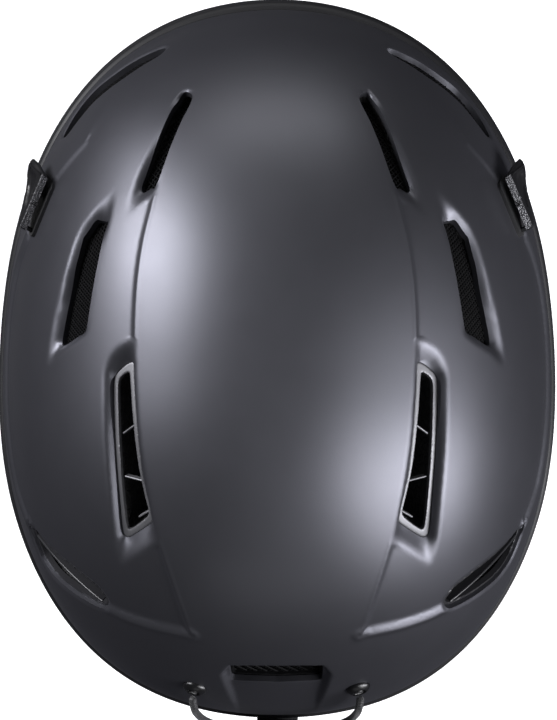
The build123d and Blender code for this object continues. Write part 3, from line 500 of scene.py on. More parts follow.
def triangulate(outer, spacing, holes=(), lines=(), fine=0.0, fine_reach=0.0, inner=None):
    """points and triangles filling an outline, with a fine grid near holes and lines"""
    openings = ([inner] if inner is not None else []) + list(holes)
    features = [(h, True) for h in holes] + list(lines)
    bounds = [(outer, True)] + features + ([(inner, True)] if inner is not None else [])

    def within(q):
        q = q[inside(outer, q)]
        for h in openings:
            q = q[~inside(h, q)]
        return q

    bounds_tree = tree_of(bounds)
    grid = within(lattice(outer.min(0), outer.max(0), spacing))
    clear = near(bounds_tree, grid) > spacing * 0.45
    if features and fine_reach > 0:
        features_tree = tree_of(features)
        far = near(features_tree, grid) > fine_reach + spacing * 0.3
        dense = np.vstack([lattice(line.min(0) - fine_reach, line.max(0) + fine_reach, fine)
                           for line, _ in features])
        _, first = np.unique(np.round(dense * 1000).astype(np.int64), axis=0, return_index=True)
        dense = within(dense[first])
        dense = dense[near(features_tree, dense) < fine_reach]
        pts = np.vstack([grid[far & clear], dense[near(bounds_tree, dense) > fine * 0.5]])
    else:
        pts = grid[clear]
    all_points, edges = [pts], []
    n = len(pts)
    for line, closed in bounds:
        m = len(line)
        all_points.append(line)
        edges += [(n + i, n + (i + 1) % m) for i in range(m if closed else m - 1)]
        n += m
    found = delaunay_2d_cdt([Vector(p) for p in np.vstack(all_points)], edges, [], 0, 1e-4)
    v = np.array([list(p) for p in found[0]])
    t = np.array([list(x) for x in found[2]])
    centres = v[t].mean(1)
    wanted = inside(outer, centres)
    for h in openings:
        wanted &= ~inside(h, centres)
    t = t[wanted]
    a = v[t]
    area2 = ((a[:, 1, 0] - a[:, 0, 0]) * (a[:, 2, 1] - a[:, 0, 1])
             - (a[:, 2, 0] - a[:, 0, 0]) * (a[:, 1, 1] - a[:, 0, 1]))
    t[area2 < 0] = t[area2 < 0][:, ::-1]
    t = t[np.abs(area2) > 1e-7]
    used = np.unique(t)
    renumber = -np.ones(len(v), int)
    renumber[used] = np.arange(len(used))
    return v[used], renumber[t]


def loops_of(t):
    """boundary edges of the triangles chained into loops"""
    edges = {}
    for a, b, c in t.tolist():
        edges[(a, b)] = 1
        edges[(b, c)] = 1
        edges[(c, a)] = 1
    following = {}
    for (i, j) in edges:
        if (j, i) not in edges:
            following.setdefault(i, []).append(j)
    loops = []
    while following:
        start = next(iter(following))
        loop, current = [], start
        while current in following:
            loop.append(current)
            after = following[current].pop()
            if not following[current]:
                del following[current]
            current = after
            if current == start:
                break
        loops.append(loop)
    return loops


# ------------------------------------------------------------------ mesh builders
# a "part" is (vertices in mm, faces)
looks = []      # (object, key in the materials table), painted once the materials exist


def new_mesh(name, verts, faces):
    me = bpy.data.meshes.new(name)
    me.from_pydata([tuple(v * MM) for v in np.asarray(verts, float)], [],
                   [tuple(int(i) for i in f) for f in faces])
    me.update()
    me.polygons.foreach_set("use_smooth", [True] * len(me.polygons))
    o = bpy.data.objects.new(name, me)
    bpy.context.scene.collection.objects.link(o)
    return o


def register(o, body, look, replaces=None):
    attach(o, body)
    if replaces:
        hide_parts(replaces)
    looks.append((o, look))


def wall(upper, lower):
    """quads between two loops of vertex numbers"""
    m = len(upper)
    return [(upper[(i + 1) % m], upper[i], lower[i], lower[(i + 1) % m]) for i in range(m)]


def loop_edges(loop):
    return [(loop[i], loop[(i + 1) % len(loop)]) for i in range(len(loop))]


def turned_out(verts, faces, index, outward=None):
    """all faces turned over if the one at index looks against outward"""
    a, b, c = (verts[i] for i in faces[index][:3])
    if outward is None:
        outward = a - INSIDE_POINT
    if np.cross(b - a, c - a) @ outward < 0:
        faces = [tuple(reversed(f)) for f in faces]
    return faces


def mark_sharp(o, pairs):
    me = o.data
    wanted = {(min(a, b), max(a, b)) for a, b in pairs}
    attribute = me.attributes.new("sharp_edge", 'BOOLEAN', 'EDGE')
    ends = np.empty(len(me.edges) * 2, int)
    me.edges.foreach_get("vertices", ends)
    ends = ends.reshape(-1, 2)
    ends.sort(axis=1)
    attribute.data.foreach_set("value", [tuple(q) in wanted for q in ends.tolist()])


def skin_object(name, v, tris, off, depths):
    """open skin on the form, with walls down to the depths round every edge"""
    psi, rho = to_polar(v)
    verts, faces = [dome(psi, rho, off)], [tuple(t) for t in tris.tolist()]
    n = len(v)
    sharp = []
    for loop in loops_of(tris):
        upper = loop
        for depth in depths:
            verts.append(dome(psi[loop], rho[loop], off[loop] - depth))
            lower = list(range(n, n + len(loop)))
            n += len(loop)
            faces += wall(upper, lower)
            upper = lower
        sharp += loop_edges(loop)
    verts = np.vstack(verts)
    o = new_mesh(name, verts, turned_out(verts, faces, len(tris) // 2))
    mark_sharp(o, sharp)
    return o


def closed_plate(top, bottom, tris):
    """two copies of a triangulation joined round their edges"""
    n = len(top)
    faces = [tuple(t) for t in tris.tolist()]
    faces += [tuple(reversed([x + n for x in t])) for t in tris.tolist()]
    for loop in loops_of(tris):
        faces += wall(loop, [x + n for x in loop])
    verts = np.vstack([top, bottom])
    return verts, turned_out(verts, faces, 0, top.mean(0) - bottom.mean(0))


def slab(outline, top, bottom, spacing, edge, holes=(), lines=(), fine=0.9, fine_reach=0.0):
    """plate on the form between two offsets (numbers or functions of domain points)

    The upper side rounds down over edge mm."""
    v, t = triangulate(outline, spacing, holes, lines, fine, fine_reach)
    d = near(tree_of([(outline, True)] + [(h, True) for h in holes], 0.3), v)
    psi, rho = to_polar(v)
    top, bottom = (q(v) if callable(q) else np.full(len(v), float(q)) for q in (top, bottom))
    drop = edge * (1 - rounded(d, edge))
    return closed_plate(dome(psi, rho, top - drop), dome(psi, rho, bottom), t)


def join_parts(parts):
    verts, faces, n = [], [], 0
    for v, f in parts:
        verts.append(np.asarray(v, float))
        faces += [tuple(x + n for x in q) for q in f]
        n += len(v)
    return np.vstack(verts), faces


def mirrored(part):
    v = np.array(part[0], float)
    v[:, 0] *= -1
    return v, [tuple(reversed(q)) for q in part[1]]


def on_side(part, side):
    return part if side > 0 else mirrored(part)


def split_shading(o, angle):
    """edges that turn by more than the angle are sharp"""
    bm = bmesh.new()
    bm.from_mesh(o.data)
    limit = math.radians(angle)
    for e in bm.edges:
        if len(e.link_faces) == 2:
            e.smooth = e.calc_face_angle(0) < limit
    bm.to_mesh(o.data)
    bm.free()


def piece(name, part, body, look, replaces=None, angle=0):
    """object from a part; angle 0 shades it smooth throughout"""
    o = new_mesh(name, *part)
    if angle:
        split_shading(o, angle)
    register(o, body, look, replaces)
    return o


def pairs(items):
    """left and right pieces of the shell

    items: name stem, part, look, stem of the piece replaced, slot (not used), shading angle"""
    for tag, side in SIDES:
        for name, part, look, replaces, slot, angle in items:
            piece(name + tag, on_side(part, side), "helmet_shell", look,
                  replaces + tag if replaces else None, angle)


def quads(rows, m, closed=False, ends=False):
    """faces of a grid of rings of m vertices, its rows closed on request, its ends capped"""
    faces = []
    for i in range(rows if closed else rows - 1):
        below = (i + 1) % rows
        for j in range(m):
            k = (j + 1) % m
            faces.append((i * m + j, i * m + k, below * m + k, below * m + j))
    if ends:
        faces.append(tuple(range(m - 1, -1, -1)))
        faces.append(tuple((rows - 1) * m + j for j in range(m)))
    return faces


def tube(path, r, n=14, caps=True):
    """round rod along a path; r is one radius or one for each point"""
    p = np.asarray(path, float)
    t = directions(p)
    up = np.array([0, 0, 1.0]) if abs(t[0][2]) < 0.9 else np.array([1.0, 0, 0])
    a = np.cross(t[0], up)
    a /= np.linalg.norm(a)
    r = np.broadcast_to(r, (len(p),))
    q = np.linspace(0, 2 * math.pi, n, endpoint=False)[:, None]
    rings = []
    for i in range(len(p)):
        a = a - t[i] * (a @ t[i])
        a /= np.linalg.norm(a)
        b = np.cross(t[i], a)
        rings.append(p[i] + r[i] * (np.cos(q) * a + np.sin(q) * b))
    verts = np.vstack(rings)
    faces = quads(len(p), n)
    if caps:
        first, last = len(verts), len(verts) + 1
        verts = np.vstack([verts, p[:1], p[-1:]])
        row = (len(p) - 1) * n
        for j in range(n):
            k = (j + 1) % n
            faces.append((first, k, j))
            faces.append((last, row + j, row + k))
    return verts, faces


def lathe(profile, origin, axis, n):
    """closed (radius, height) ring turned about an axis"""
    side = np.array([1.0, 0, 0]) if abs(axis[0]) < 0.8 else np.array([0, 1.0, 0])
    a = np.cross(axis, side)
    a /= np.linalg.norm(a)
    b = np.cross(axis, a)
    verts = []
    for i in range(n):
        q = 2 * math.pi * i / n
        d = a * math.cos(q) + b * math.sin(q)
        verts += [origin + d * r + axis * h for r, h in profile]
    return np.array(verts), quads(n, len(profile), closed=True)


def running_length(path):
    return np.concatenate([[0], np.cumsum(np.linalg.norm(np.diff(path, axis=0), axis=1))])


def ribbon(centres, across, normal, width, thick):
    """woven strap with thickened edges: part, and uv (along, across) in centimetres"""
    across, normal = (np.broadcast_to(q, centres.shape) for q in (across, normal))
    steps = np.linspace(-1, 1, 13)
    profile = []
    for x, up in [(x, 1) for x in steps] + [(x, -1) for x in steps[::-1][1:-1]]:
        h = thick / 2 * min(1.0, max(0.0, 1 - abs(x)) / 0.08) ** 0.5
        selvedge = 0.16 * thick * math.exp(-((abs(x) - 0.86) / 0.06) ** 2)
        profile.append((x * width / 2, (h + selvedge) * up))
    # the last vertex sits under the first, where the profile closes
    verts, uv = [], []
    length = running_length(centres)
    for i in range(len(centres)):
        for a, b in profile:
            verts.append(centres[i] + across[i] * a + normal[i] * b)
            uv.append((length[i] * 0.1, a * 0.1))
    return (np.array(verts), quads(len(centres), len(profile), ends=True)), np.array(uv)


def set_uv(o, uv):
    me = o.data
    layer = me.uv_layers.new(name="strap")
    idx = np.empty(len(me.loops), int)
    me.loops.foreach_get("vertex_index", idx)
    layer.data.foreach_set("uv", uv[idx].ravel())


def web_strip(top, bottom, half):
    """thin upright wall between two lines; half is half its thickness as a vector"""
    n = len(top)
    verts = np.vstack([top + half, bottom + half, bottom - half, top - half])
    faces = []
    for i in range(n - 1):
        for k in range(4):
            k2 = (k + 1) % 4
            faces.append((k * n + i, k * n + i + 1, k2 * n + i + 1, k2 * n + i))
    return verts, faces


def screen(outline, off, pitch=1.5, wire=0.34, grow=0.5):
    """woven screen: crossing rods over and under each other inside a grown outline"""
    out = offset_loop(outline, grow)
    low, high = out.min(0), out.max(0)
    diagonal = pitch * 1.41
    count = int((high - low).sum() / pitch) + 2
    along = np.arange(0, (high[1] - low[1]) + 2, 0.6)
    parts = []
    for lean in (1, -1):
        for i in range(-count, count):
            line = np.stack([low[0] + i * diagonal + lean * along, low[1] + along], -1)
            idx = np.where(inside(out, line))[0]
            if len(idx) < 3:
                continue
            for run in np.split(idx, np.where(np.diff(idx) > 1)[0] + 1):
                if len(run) < 3:
                    continue
                seg = line[run]
                phase = 0 if lean > 0 else math.pi
                weave = wire * 0.55 * np.sin(np.pi * (seg[:, 0] + seg[:, 1]) / diagonal + phase)
                parts.append(tube(lift(seg, off + weave), wire, 5, caps=False))
    return join_parts(parts)


# ------------------------------------------------------------------ upper shell
FINE_GRID = 0.8


def row_between(hole, recess, share):
    """row a share of the way from a hole's edge to its recess outline"""
    fine = resample(recess, 0.3)
    gap = ((hole[:, None, :] - fine[None, :, :]) ** 2).sum(2)
    target = fine[gap.argmin(1)]
    # ease sudden jumps of the nearest point
    for _ in range(3):
        target = (np.roll(target, 1, 0) + 2 * target + np.roll(target, -1, 0)) / 4
    return hole + (target - hole) * share


def upper_lines():
    """(line, closed) pairs the triangulation follows, most important first"""
    lines = []

    def add_both(line, closed=True):
        lines.append((line, closed))
        lines.append((mirror(line), closed))

    for recess, _, _ in RECESSES:
        add_both(recess)
    lines.append((channel, True))
    for recess, hole, _ in RECESSES:
        for share in (0.3, 0.62):
            add_both(row_between(resample(hole, 0.8), recess, share))
    for recess, _, _ in RECESSES:
        add_both(offset_loop(recess, 0.9))
    for d in (0.9, -0.9, -1.8):
        lines.append((offset_loop(channel, d), True))
    for line in (crease, groove, ridge, front_crease):
        for k, d in enumerate((-1.3, -0.65, 0.0, 0.65, 1.3)):
            row = resample(offset_loop(line, d, False), 0.75, False)
            if k % 2:
                row = np.vstack([row[:1], (row[1:] + row[:-1]) / 2, row[-1:]])
            add_both(row, False)
    return lines


def prune(lines, holes):
    """drop row points in a hole or too near another line, so the triangulation stays clean"""
    kept = []
    placed = list(holes)
    for line, closed in lines:
        clear = np.ones(len(line), bool)
        for other in placed:
            clear &= flat_dist(line, other, 1.0) > 0.28
        for h in holes:
            clear &= ~inside(h, line)
        if closed and clear.all():
            kept.append((line, True))
            placed.append(line)
            continue
        idx = np.where(clear)[0]
        if not len(idx):
            continue
        for run in np.split(idx, np.where(np.diff(idx) > 1)[0] + 1):
            if len(run) >= 2:
                kept.append((line[run], False))
                placed.append(line[run])
    return kept


def upper_relief(v, base):
    """offset of the upper shell's surface from the plain form"""
    off = np.zeros(len(v))
    fade = smooth((base[:, 1] + 99.0) / 34.0)       # the panel runs out towards the front
    for side in (1, -1):
        flip = np.array([side, 1.0])
        # the sunk side panel
        within = inside(panel * flip, v)
        d = form_dist(base, panel_edge * flip, 4.0, False)
        sunk = np.where(within, smooth((d + 0.5) / 3.3), smooth((0.5 - d) / 3.3))
        off -= 1.1 * sunk * fade
        # a fine rolled lip on the crown side of the crease
        outward = np.where(within, -d, d)
        d = form_dist(base, crease * flip, 4.0, False)
        off += np.where(d < 3.9, 0.24 * ridge_shape(outward - 0.1, 0.62), 0) * fade
        # rolled shoulders outside the panel, along the groove and the ridge
        d = form_dist(base, groove * flip, 6.0, False)
        off += np.where(~within, 0.55 * ridge_shape(d - 1.9, 1.3), 0)
        d = form_dist(base, ridge * flip, 7.0, False)
        off += np.where(~within, 0.5 * ridge_shape(d - 2.2, 1.6), 0)
        # recesses falling to their openings, with a soft start at the outer edge
        for recess, hole, depth in RECESSES:
            a = form_dist(base, recess * flip, 14.0)
            b = form_dist(base, hole * flip, 14.0)
            at_hole = b < 0.05
            f = np.where(inside(recess * flip, v), a / np.maximum(a + b, 1e-6), 0)
            f = np.where(at_hole, 1.0, f)
            f = np.clip(f, 0, 1) ** 0.85 * smooth((a - 0.25) / 2.2)
            if recess is front_recess:
                # runs out at its front tip
                f = f * (0.12 + 0.88 * smooth((base[:, 1] + 103.5) / 9.0))
            off -= depth * f
        # small drops round the other openings: outline, depth, reach
        for hole, depth, reach in ((exhaust, 0.8, 1.6), (brow_slot, 0.6, 1.4),
                                   (eyelet, 0.25, 1.2)):
            off -= depth * smooth(1 - form_dist(base, hole * flip, 3.0) / reach)
    # the rear channel, shallower towards its lower end
    within = inside(channel, v)
    a = form_dist(base, channel, 14.0)
    off -= np.where(within, 2.7 * smooth(a / 2.4) * smooth((base[:, 2] - 38.0) / 44.0), 0)
    b = form_dist(base, rear_vent, 2.0)
    off -= np.where(within, 0.3 * smooth(1 - b / 1.0), 0)
    return off


def depth_into_recess(v, base):
    """signed distance inside the nearest recess outline; -99 where none is near"""
    limit = 9.0
    depth = np.full(len(v), -99.0)
    for recess, _, _ in RECESSES:
        for line in (recess, mirror(recess)):
            a = form_dist(base, line, limit)
            a = np.where(inside(line, v), a, -a)
            depth = np.where(np.abs(a) < np.abs(depth), a, depth)
    return np.where(np.abs(depth) > limit - 0.1, -99.0, depth)


def relax(values, tris, keep, rounds, share, across=None, width=1.0):
    """evens values over neighbouring points, except those in keep

    With across, neighbours count less the more they differ in it, so that the profile
    across stays."""
    e = np.vstack([tris[:, [0, 1]], tris[:, [1, 2]], tris[:, [2, 0]]])
    e = np.vstack([e, e[:, ::-1]])
    weight = np.ones(len(e))
    if across is not None:
        weight = ridge_shape(across[e[:, 0]] - across[e[:, 1]], width) + 1e-4
    total = np.maximum(np.bincount(e[:, 0], weights=weight, minlength=len(keep)), 1e-9)
    result = values.reshape(len(keep), -1).copy()
    for _ in range(rounds):
        for c in range(result.shape[1]):
            mean = np.bincount(e[:, 0], weights=result[e[:, 1], c] * weight,
                               minlength=len(keep)) / total
            result[:, c] = np.where(keep, result[:, c],
                                    result[:, c] * (1 - share) + mean * share)
    return result.reshape(values.shape)


def unit_rows(v):
    return v / np.maximum(np.linalg.norm(v, axis=1, keepdims=True), 1e-9)


def even_normals(o, tris, n_top, keep, across):
    """custom shading normals of the outer surface, evened along the recesses"""
    me = o.data
    normals = np.empty(len(me.loops) * 3)
    me.corner_normals.foreach_get("vector", normals)
    normals = normals.reshape(-1, 3)
    corner = np.empty(len(me.loops), int)
    me.loops.foreach_get("vertex_index", corner)
    n_loops = 3 * len(tris)
    vn = np.zeros((n_top, 3))
    np.add.at(vn, corner[:n_loops], normals[:n_loops])
    vn = unit_rows(vn)
    vn = relax(vn, tris, keep, rounds=10, share=0.6, across=across, width=0.5)
    vn = relax(vn, tris, keep, rounds=1, share=0.4, across=across, width=3.0)
    normals[:n_loops] = unit_rows(vn)[corner[:n_loops]]
    me.normals_split_custom_set(normals.tolist())


def build_upper_shell():
    holes = [q for h in (front_vent, side_vent, frame_out, exhaust, brow_slot)
             for q in (h, mirror(h))] + [rear_vent, eyelet, mirror(eyelet)]
    # reaches a little below the parting line, behind the lower shell's edge
    v, tris = triangulate(side_line(PARTING, dz=-2.0, step=1.6), 2.4, holes,
                          prune(upper_lines(), holes), FINE_GRID, 4.0)
    base = lift(v)
    off = upper_relief(v, base)
    border = np.zeros(len(v), bool)
    for loop in loops_of(tris):
        border[loop] = True
    depth = depth_into_recess(v, base)
    outside = ~(depth > -2.2)
    off = relax(off, tris, border, rounds=1, share=0.5)
    off = relax(off, tris, border | outside, rounds=3, share=0.5)
    off = relax(off, tris, border | outside, rounds=14, share=0.6, across=depth, width=0.45)
    o = skin_object("helmet_upper_shell", v, tris, off, [0.25, 2.4])
    even_normals(o, tris, len(v), outside, depth)
    register(o, "helmet_shell", "shell", "upper_shell")


# ------------------------------------------------------------------ lower shell and foam
def build_lower_shell():
    parting = side_line(PARTING, step=1.2)
    lines = [(side_line(PARTING, dz=dz, step=1.4), True)
             for dz in (-0.7, -1.6, -3.4, -4.4, -5.2, -6.2)]
    lines += [(side_line(RIM, dz=dz, step=1.4), True) for dz in (0.8, 1.8, 3.0)]
    v, tris = triangulate(rim_loop, 2.6, lines=lines, inner=parting)
    base = lift(v)
    psi, _ = to_polar(v)
    d_top = form_dist(base, parting, 12.0)
    d_bottom = form_dist(base, rim_loop, 12.0)
    off = 1.15 * np.sqrt(np.clip(d_top / 1.3, 0, 1)) + 0.1
    off -= 0.8 * ridge_shape(d_top - 4.4, 0.75)     # groove below the lip
    off -= 1.1 * (1 - np.sqrt(np.clip(d_bottom / 2.4, 0, 1)))
    brim = np.where(np.cos(psi) > 0, np.cos(psi) ** 9, 0.0)
    off += 1.7 * brim * smooth(d_top / 3.0)
    o = skin_object("helmet_lower_shell", v, tris, off, [0.5, 1.4, 3.4])
    register(o, "helmet_shell", "shell_low", "lower_shell")


def build_foam():
    """foam body: outer skin, cavity skin and the walls of the openings through it"""
    holes = [offset_loop(h, grow) for h, grow in (
        (front_vent, 0.9), (side_vent, 0.9), (frame_in, 0.3), (exhaust, 0.5), (brow_slot, 0.5))]
    holes += [mirror(h) for h in holes] + [offset_loop(rear_vent, 0.8)]
    v, tris = triangulate(side_line(RIM, dz=1.0, step=2.0), 3.6, holes, fine=2.0, fine_reach=3.0)
    psi, rho = to_polar(v)
    base = dome(psi, rho)
    off = np.full(len(v), -2.9)
    # sunk below the shell's recesses
    for side in (1, -1):
        flip = np.array([side, 1.0])
        within = inside(offset_loop(pocket * flip, 0.6), v)
        within |= form_dist(base, frame_in * flip, 8.0) < 2.5
        off = np.where(within, -6.6, off)
        for recess, depth in ((front_recess, 5.6), (side_recess, 6.3)):
            off = np.where(inside(offset_loop(recess * flip, 0.8), v), -depth, off)
    off = np.where(inside(offset_loop(channel, 0.5), v), np.minimum(off, -5.9), off)
    outer = dome(psi, rho, off)
    # two shallow air channels run front to back along the cavity
    inner = cavity(psi, rho)
    groove_depth = (3.4 * smooth((7.5 - np.abs(np.abs(inner[:, 0]) - 36.0)) / 3.0)
                    * smooth((inner[:, 2] - 52.0) / 14.0))
    inner = cavity(psi, rho, groove_depth)

    n_skin = len(v)
    n = 2 * n_skin
    faces = [tuple(t) for t in tris.tolist()]
    faces += [tuple(reversed([x + n_skin for x in t])) for t in tris.tolist()]
    verts = [outer, inner]
    sharp = []
    rows = 5
    for loop in loops_of(tris):
        foot = [x + n_skin for x in loop]
        upper = loop
        for k in range(1, rows):
            verts.append(outer[loop] * (1 - k / rows) + inner[loop] * (k / rows))
            lower = list(range(n, n + len(loop)))
            n += len(loop)
            faces += wall(upper, lower)
            upper = lower
        faces += wall(upper, foot)
        sharp += loop_edges(loop) + loop_edges(foot)
    verts = np.vstack(verts)
    o = new_mesh("foam_liner_body", verts, turned_out(verts, faces, len(tris) // 2))
    mark_sharp(o, sharp)
    register(o, "helmet_shell", "foam", "foam_liner")


# ------------------------------------------------------------------ vent inserts
def vent_frame():
    """ring in the pocket with three ribs, each a rod on an upright web"""
    parts = [slab(resample(offset_loop(frame_out, -0.15), 0.5), -4.75, -6.5, 0.5, 0.4,
                  holes=[resample(frame_in, 0.5)])]
    rib_top, rib_bottom = -6.3, -8.2
    for start, end in np.array(FRAME_RIBS):
        line = from_plan(start + (end - start) * np.linspace(0, 1, 9)[:, None], rib_top)
        top, bottom = lift(line, rib_top), lift(line, rib_bottom)
        parts.append(tube(top, 0.42, 10))
        half = np.cross(top[-1] - top[0], bottom[0] - top[0])
        parts.append(web_strip(top, bottom, half / np.linalg.norm(half) * 0.3))
    return join_parts(parts)


def brow_insert():
    ring = slab(offset_loop(brow_slot, 0.9), -2.7, -4.2, 1.2, 0.2,
                holes=[offset_loop(brow_slot, -0.25)])
    return join_parts([screen(brow_slot, -3.0, grow=0.9), ring])


def exhaust_grille():
    """ring, a curved fin along the opening and a screen behind"""
    ring = slab(offset_loop(exhaust, -0.15), -1.9, -4.2, 1.0, 0.5,
                holes=[offset_loop(exhaust, -1.5)])
    start, middle, end = np.array([(92.0, 67.2), (81.5, 80.4), (66.2, 92.0)])
    q = np.linspace(0, 1, 25)[:, None]
    curve = (1 - q) ** 2 * start + 2 * q * (1 - q) * middle + q ** 2 * end
    fin_top, fin_bottom = -2.6, -7.5
    line = from_plan(curve, fin_top)
    top, bottom = lift(line, fin_top), lift(line, fin_bottom)
    half = np.cross(np.gradient(top, axis=0), bottom - top)
    half = half / np.linalg.norm(half, axis=1)[:, None] * 0.55
    return join_parts([ring, web_strip(top, bottom, half), tube(top, 0.62, 10),
                       screen(exhaust, -8.5, pitch=2.0, wire=0.4, grow=-0.3)])


def build_rear_vent():
    """ring, screen and three bars"""
    parts = [slab(offset_loop(rear_vent, 0.5), -5.6, -7.6, 1.2, 0.4,
                  holes=[offset_loop(rear_vent, -1.0)]),
             screen(rear_vent, -7.2, pitch=1.7, wire=0.36, grow=0.2)]
    for x in (-8.5, 0.0, 8.5):
        bar = from_plan(np.stack([np.full(9, x), np.linspace(117.6, 126.0, 9)], -1))
        parts.append(tube(lift(bar, -8.4), 0.6, 10))
    piece("rear_vent_screen", join_parts(parts), "helmet_shell", "screen", "rear_vent_grille",
          40)


def build_vents():
    pairs([("vent_frame_body_", vent_frame(), "frame", "vent_frame_", "frame_silver", 38)])
    pairs([
        ("front_screen_", screen(front_vent, -6.0), "screen", "front_vent_mesh_",
         "mesh_black", 0),
        ("side_screen_", screen(side_vent, -6.9), "screen", "side_vent_mesh_", "mesh_black", 0),
        ("brow_screen_", brow_insert(), "screen", "brow_vent_insert_", "plastic_black", 40),
        ("exhaust_frame_", exhaust_grille(), "exhaust", "exhaust_grille_", "frame_silver", 38),
    ])
    build_rear_vent()


# ------------------------------------------------------------------ goggle clips
# plan ends of a clip's top edge, front and rear
CLIP_FRONT, CLIP_REAR = np.array([87.4, -69.5]), np.array([96.0, -49.5])
CLIP_OFF = 3.0          # inner side of the clip
CLIP_TOP = 5.7          # outer side
CLIP_FLARE = 2.0        # extra offset of the outer side at the flared lower front
# clip outlines: share along the top edge from front to rear, distance below it
CLIP_OUTLINE = [
    (0, 0), (0.25, 0), (0.5, 0), (0.75, 0), (0.985, 0.1), (1.0, 1.0), (0.99, 4.2), (0.86, 7.0),
    (0.5, 13.2), (0.2, 17.5), (0.02, 18.6), (-0.07, 17.6), (-0.10, 14.0), (-0.055, 8.0),
    (-0.02, 3.0)]
CLIP_WINDOW = [(0.10, 4.2), (0.62, 3.6), (0.70, 5.2), (0.36, 11.5), (0.12, 13.6), (0.07, 11.0)]
CLIP_FOOT = [(0.0, 12.5), (0.36, 10.5), (0.4, 13.0), (0.2, 16.2), (-0.02, 17.4)]
CLIP_HEEL = [(0.90, 1.5), (0.985, 1.2), (0.98, 3.8), (0.90, 5.2)]
# dark pad on the shell under the clip: painted shade, its black stands in for the shade in the
# slot between clip and shell
CLIP_SHADE_PAD = [(-0.02, -0.9), (0.5, -0.9), (1.03, -0.9), (1.04, 5.0), (0.55, 14.5), (0.2, 18.5),
             (-0.04, 18.5)]
SCREW_YZ = (-69.6, 65.2)


def clip_points(pts):
    """(share along, distance below) to domain"""
    out = []
    for share, drop in pts:
        top = from_plan([CLIP_FRONT + (CLIP_REAR - CLIP_FRONT) * share], CLIP_OFF)[0]
        out.append(top + top / np.hypot(*top) * drop)
    return np.array(out)


def clip_shape(pts, keep, step):
    return resample(chaikin(clip_points(pts), 2, keep), step)


clip_window = clip_shape(CLIP_WINDOW, 0.22, 0.9)


def clip_flare(v):
    """0 to 1 towards the lower front of the clip"""
    shares = np.linspace(-0.3, 1.1, 57)
    psi, rho = to_polar(v)
    top_psi, top_rho = to_polar(clip_points([(q, 0) for q in shares]))
    order = np.argsort(top_psi)
    drop = rho - np.interp(psi, top_psi[order], top_rho[order])
    share = np.interp(psi, top_psi[order], shares)
    return smooth((drop - 3.0) / 10.0) * smooth((0.42 - share) / 0.42)


def clip_top(v):
    sunk = inside(clip_window, v) * smooth(near(tree_of([(clip_window, True)]), v) / 1.0)
    return CLIP_TOP + CLIP_FLARE * clip_flare(v) - 0.8 * sunk


def clip_bottom(v):
    return CLIP_OFF + 1.2 * clip_flare(v)


def clip_body():
    """plate with a sunk window, foot, heel and a rib along the front edge"""
    foot_base = 0.05
    plate = slab(clip_shape(CLIP_OUTLINE, 0.16, 0.9), clip_top, clip_bottom, 1.2, 0.7,
                 lines=[(clip_window, True)], fine=0.8, fine_reach=1.4)
    foot = slab(clip_shape(CLIP_FOOT, 0.2, 1.0), 4.6, foot_base, 1.2, 0.2)
    heel = slab(clip_shape(CLIP_HEEL, 0.2, 0.8), 3.6, foot_base, 1.0, 0.2)
    rib = clip_points([(0.03, drop) for drop in np.linspace(2.0, 16.0, 12)])
    rib_off = CLIP_TOP + 0.02 + CLIP_FLARE * clip_flare(rib)
    return join_parts([plate, foot, heel, tube(lift(rib, rib_off), 0.4, 8)])


def clip_strip():
    """narrow strip along the clip's top edge"""
    strip = ([(q, 0.02) for q in np.linspace(0.01, 0.98, 24)]
             + [(q, 0.75) for q in np.linspace(0.98, 0.01, 24)])
    return slab(resample(clip_points(strip), 0.7), CLIP_TOP + 0.08, CLIP_OFF - 0.04, 0.8, 0.3)


def build_clip_screws():
    """low screw heads, each with a round socket"""
    head_r, socket_r = 1.9, 0.85
    centre = from_side([SCREW_YZ])[0]
    a = np.linspace(0, 2 * np.pi, 29)[:-1]
    circle = np.column_stack([np.cos(a), np.sin(a)])

    def top(v):
        r = np.hypot(*(v - centre).T)
        return clip_top(v) + 0.3 - 0.75 * smooth((1.0 - r) / 0.25)

    head = slab(centre + head_r * circle, top, 3.2, 0.4, 0.25,
                lines=[(centre + socket_r * circle, True)], fine=0.4, fine_reach=1.0)
    piece("clip_screw_head", join_parts([head, mirrored(head)]), "helmet_shell", "screw",
          "clip_screws", 40)


def build_clips():
    # dark pad under each clip: painted shade for the slot between clip and shell
    shade_pad = slab(clip_shape(CLIP_SHADE_PAD, 0.14, 1.0), 0.35, -1.6, 1.4, 0.25)
    pairs([
        ("goggle_clip_body_", clip_body(), "clip", "goggle_clip_", "plastic_black", 42),
        ("clip_strap_seat_", shade_pad, "rubber", None, "rubber_black", 40),
        ("clip_grip_strip_", clip_strip(), "grip", None, "frame_silver", 40),
    ])
    build_clip_screws()


# ------------------------------------------------------------------ rear cord loop
CORD_R = 1.5
# eyelet and knot sections: radius, height along the shell's normal
EYELET_PROFILE = [
    (2.15, -4.4), (2.15, 1.6), (2.35, 2.15), (2.8, 2.35), (3.3, 2.1), (4.0, 1.5), (4.6, 0.85),
    (4.85, 0.2), (4.8, -0.4), (3.25, -0.6), (3.25, -3.4), (4.3, -3.5), (4.3, -4.4)]
KNOT_PROFILE = [(0.01, -3.2), (1.6, -2.8), (2.8, -1.6), (3.2, 0), (2.8, 1.6), (1.6, 2.8),
                (0.01, 3.2)]
# cord from outside the eyelet down to the middle: x, y, z
CORD_PATH = [(31.6, 133.6, 69.5), (30.6, 136.2, 61.0), (27.6, 139.2, 51.0), (21.5, 141.9, 42.0),
             (15.0, 143.2, 36.4), (9.5, 143.6, 33.0)]


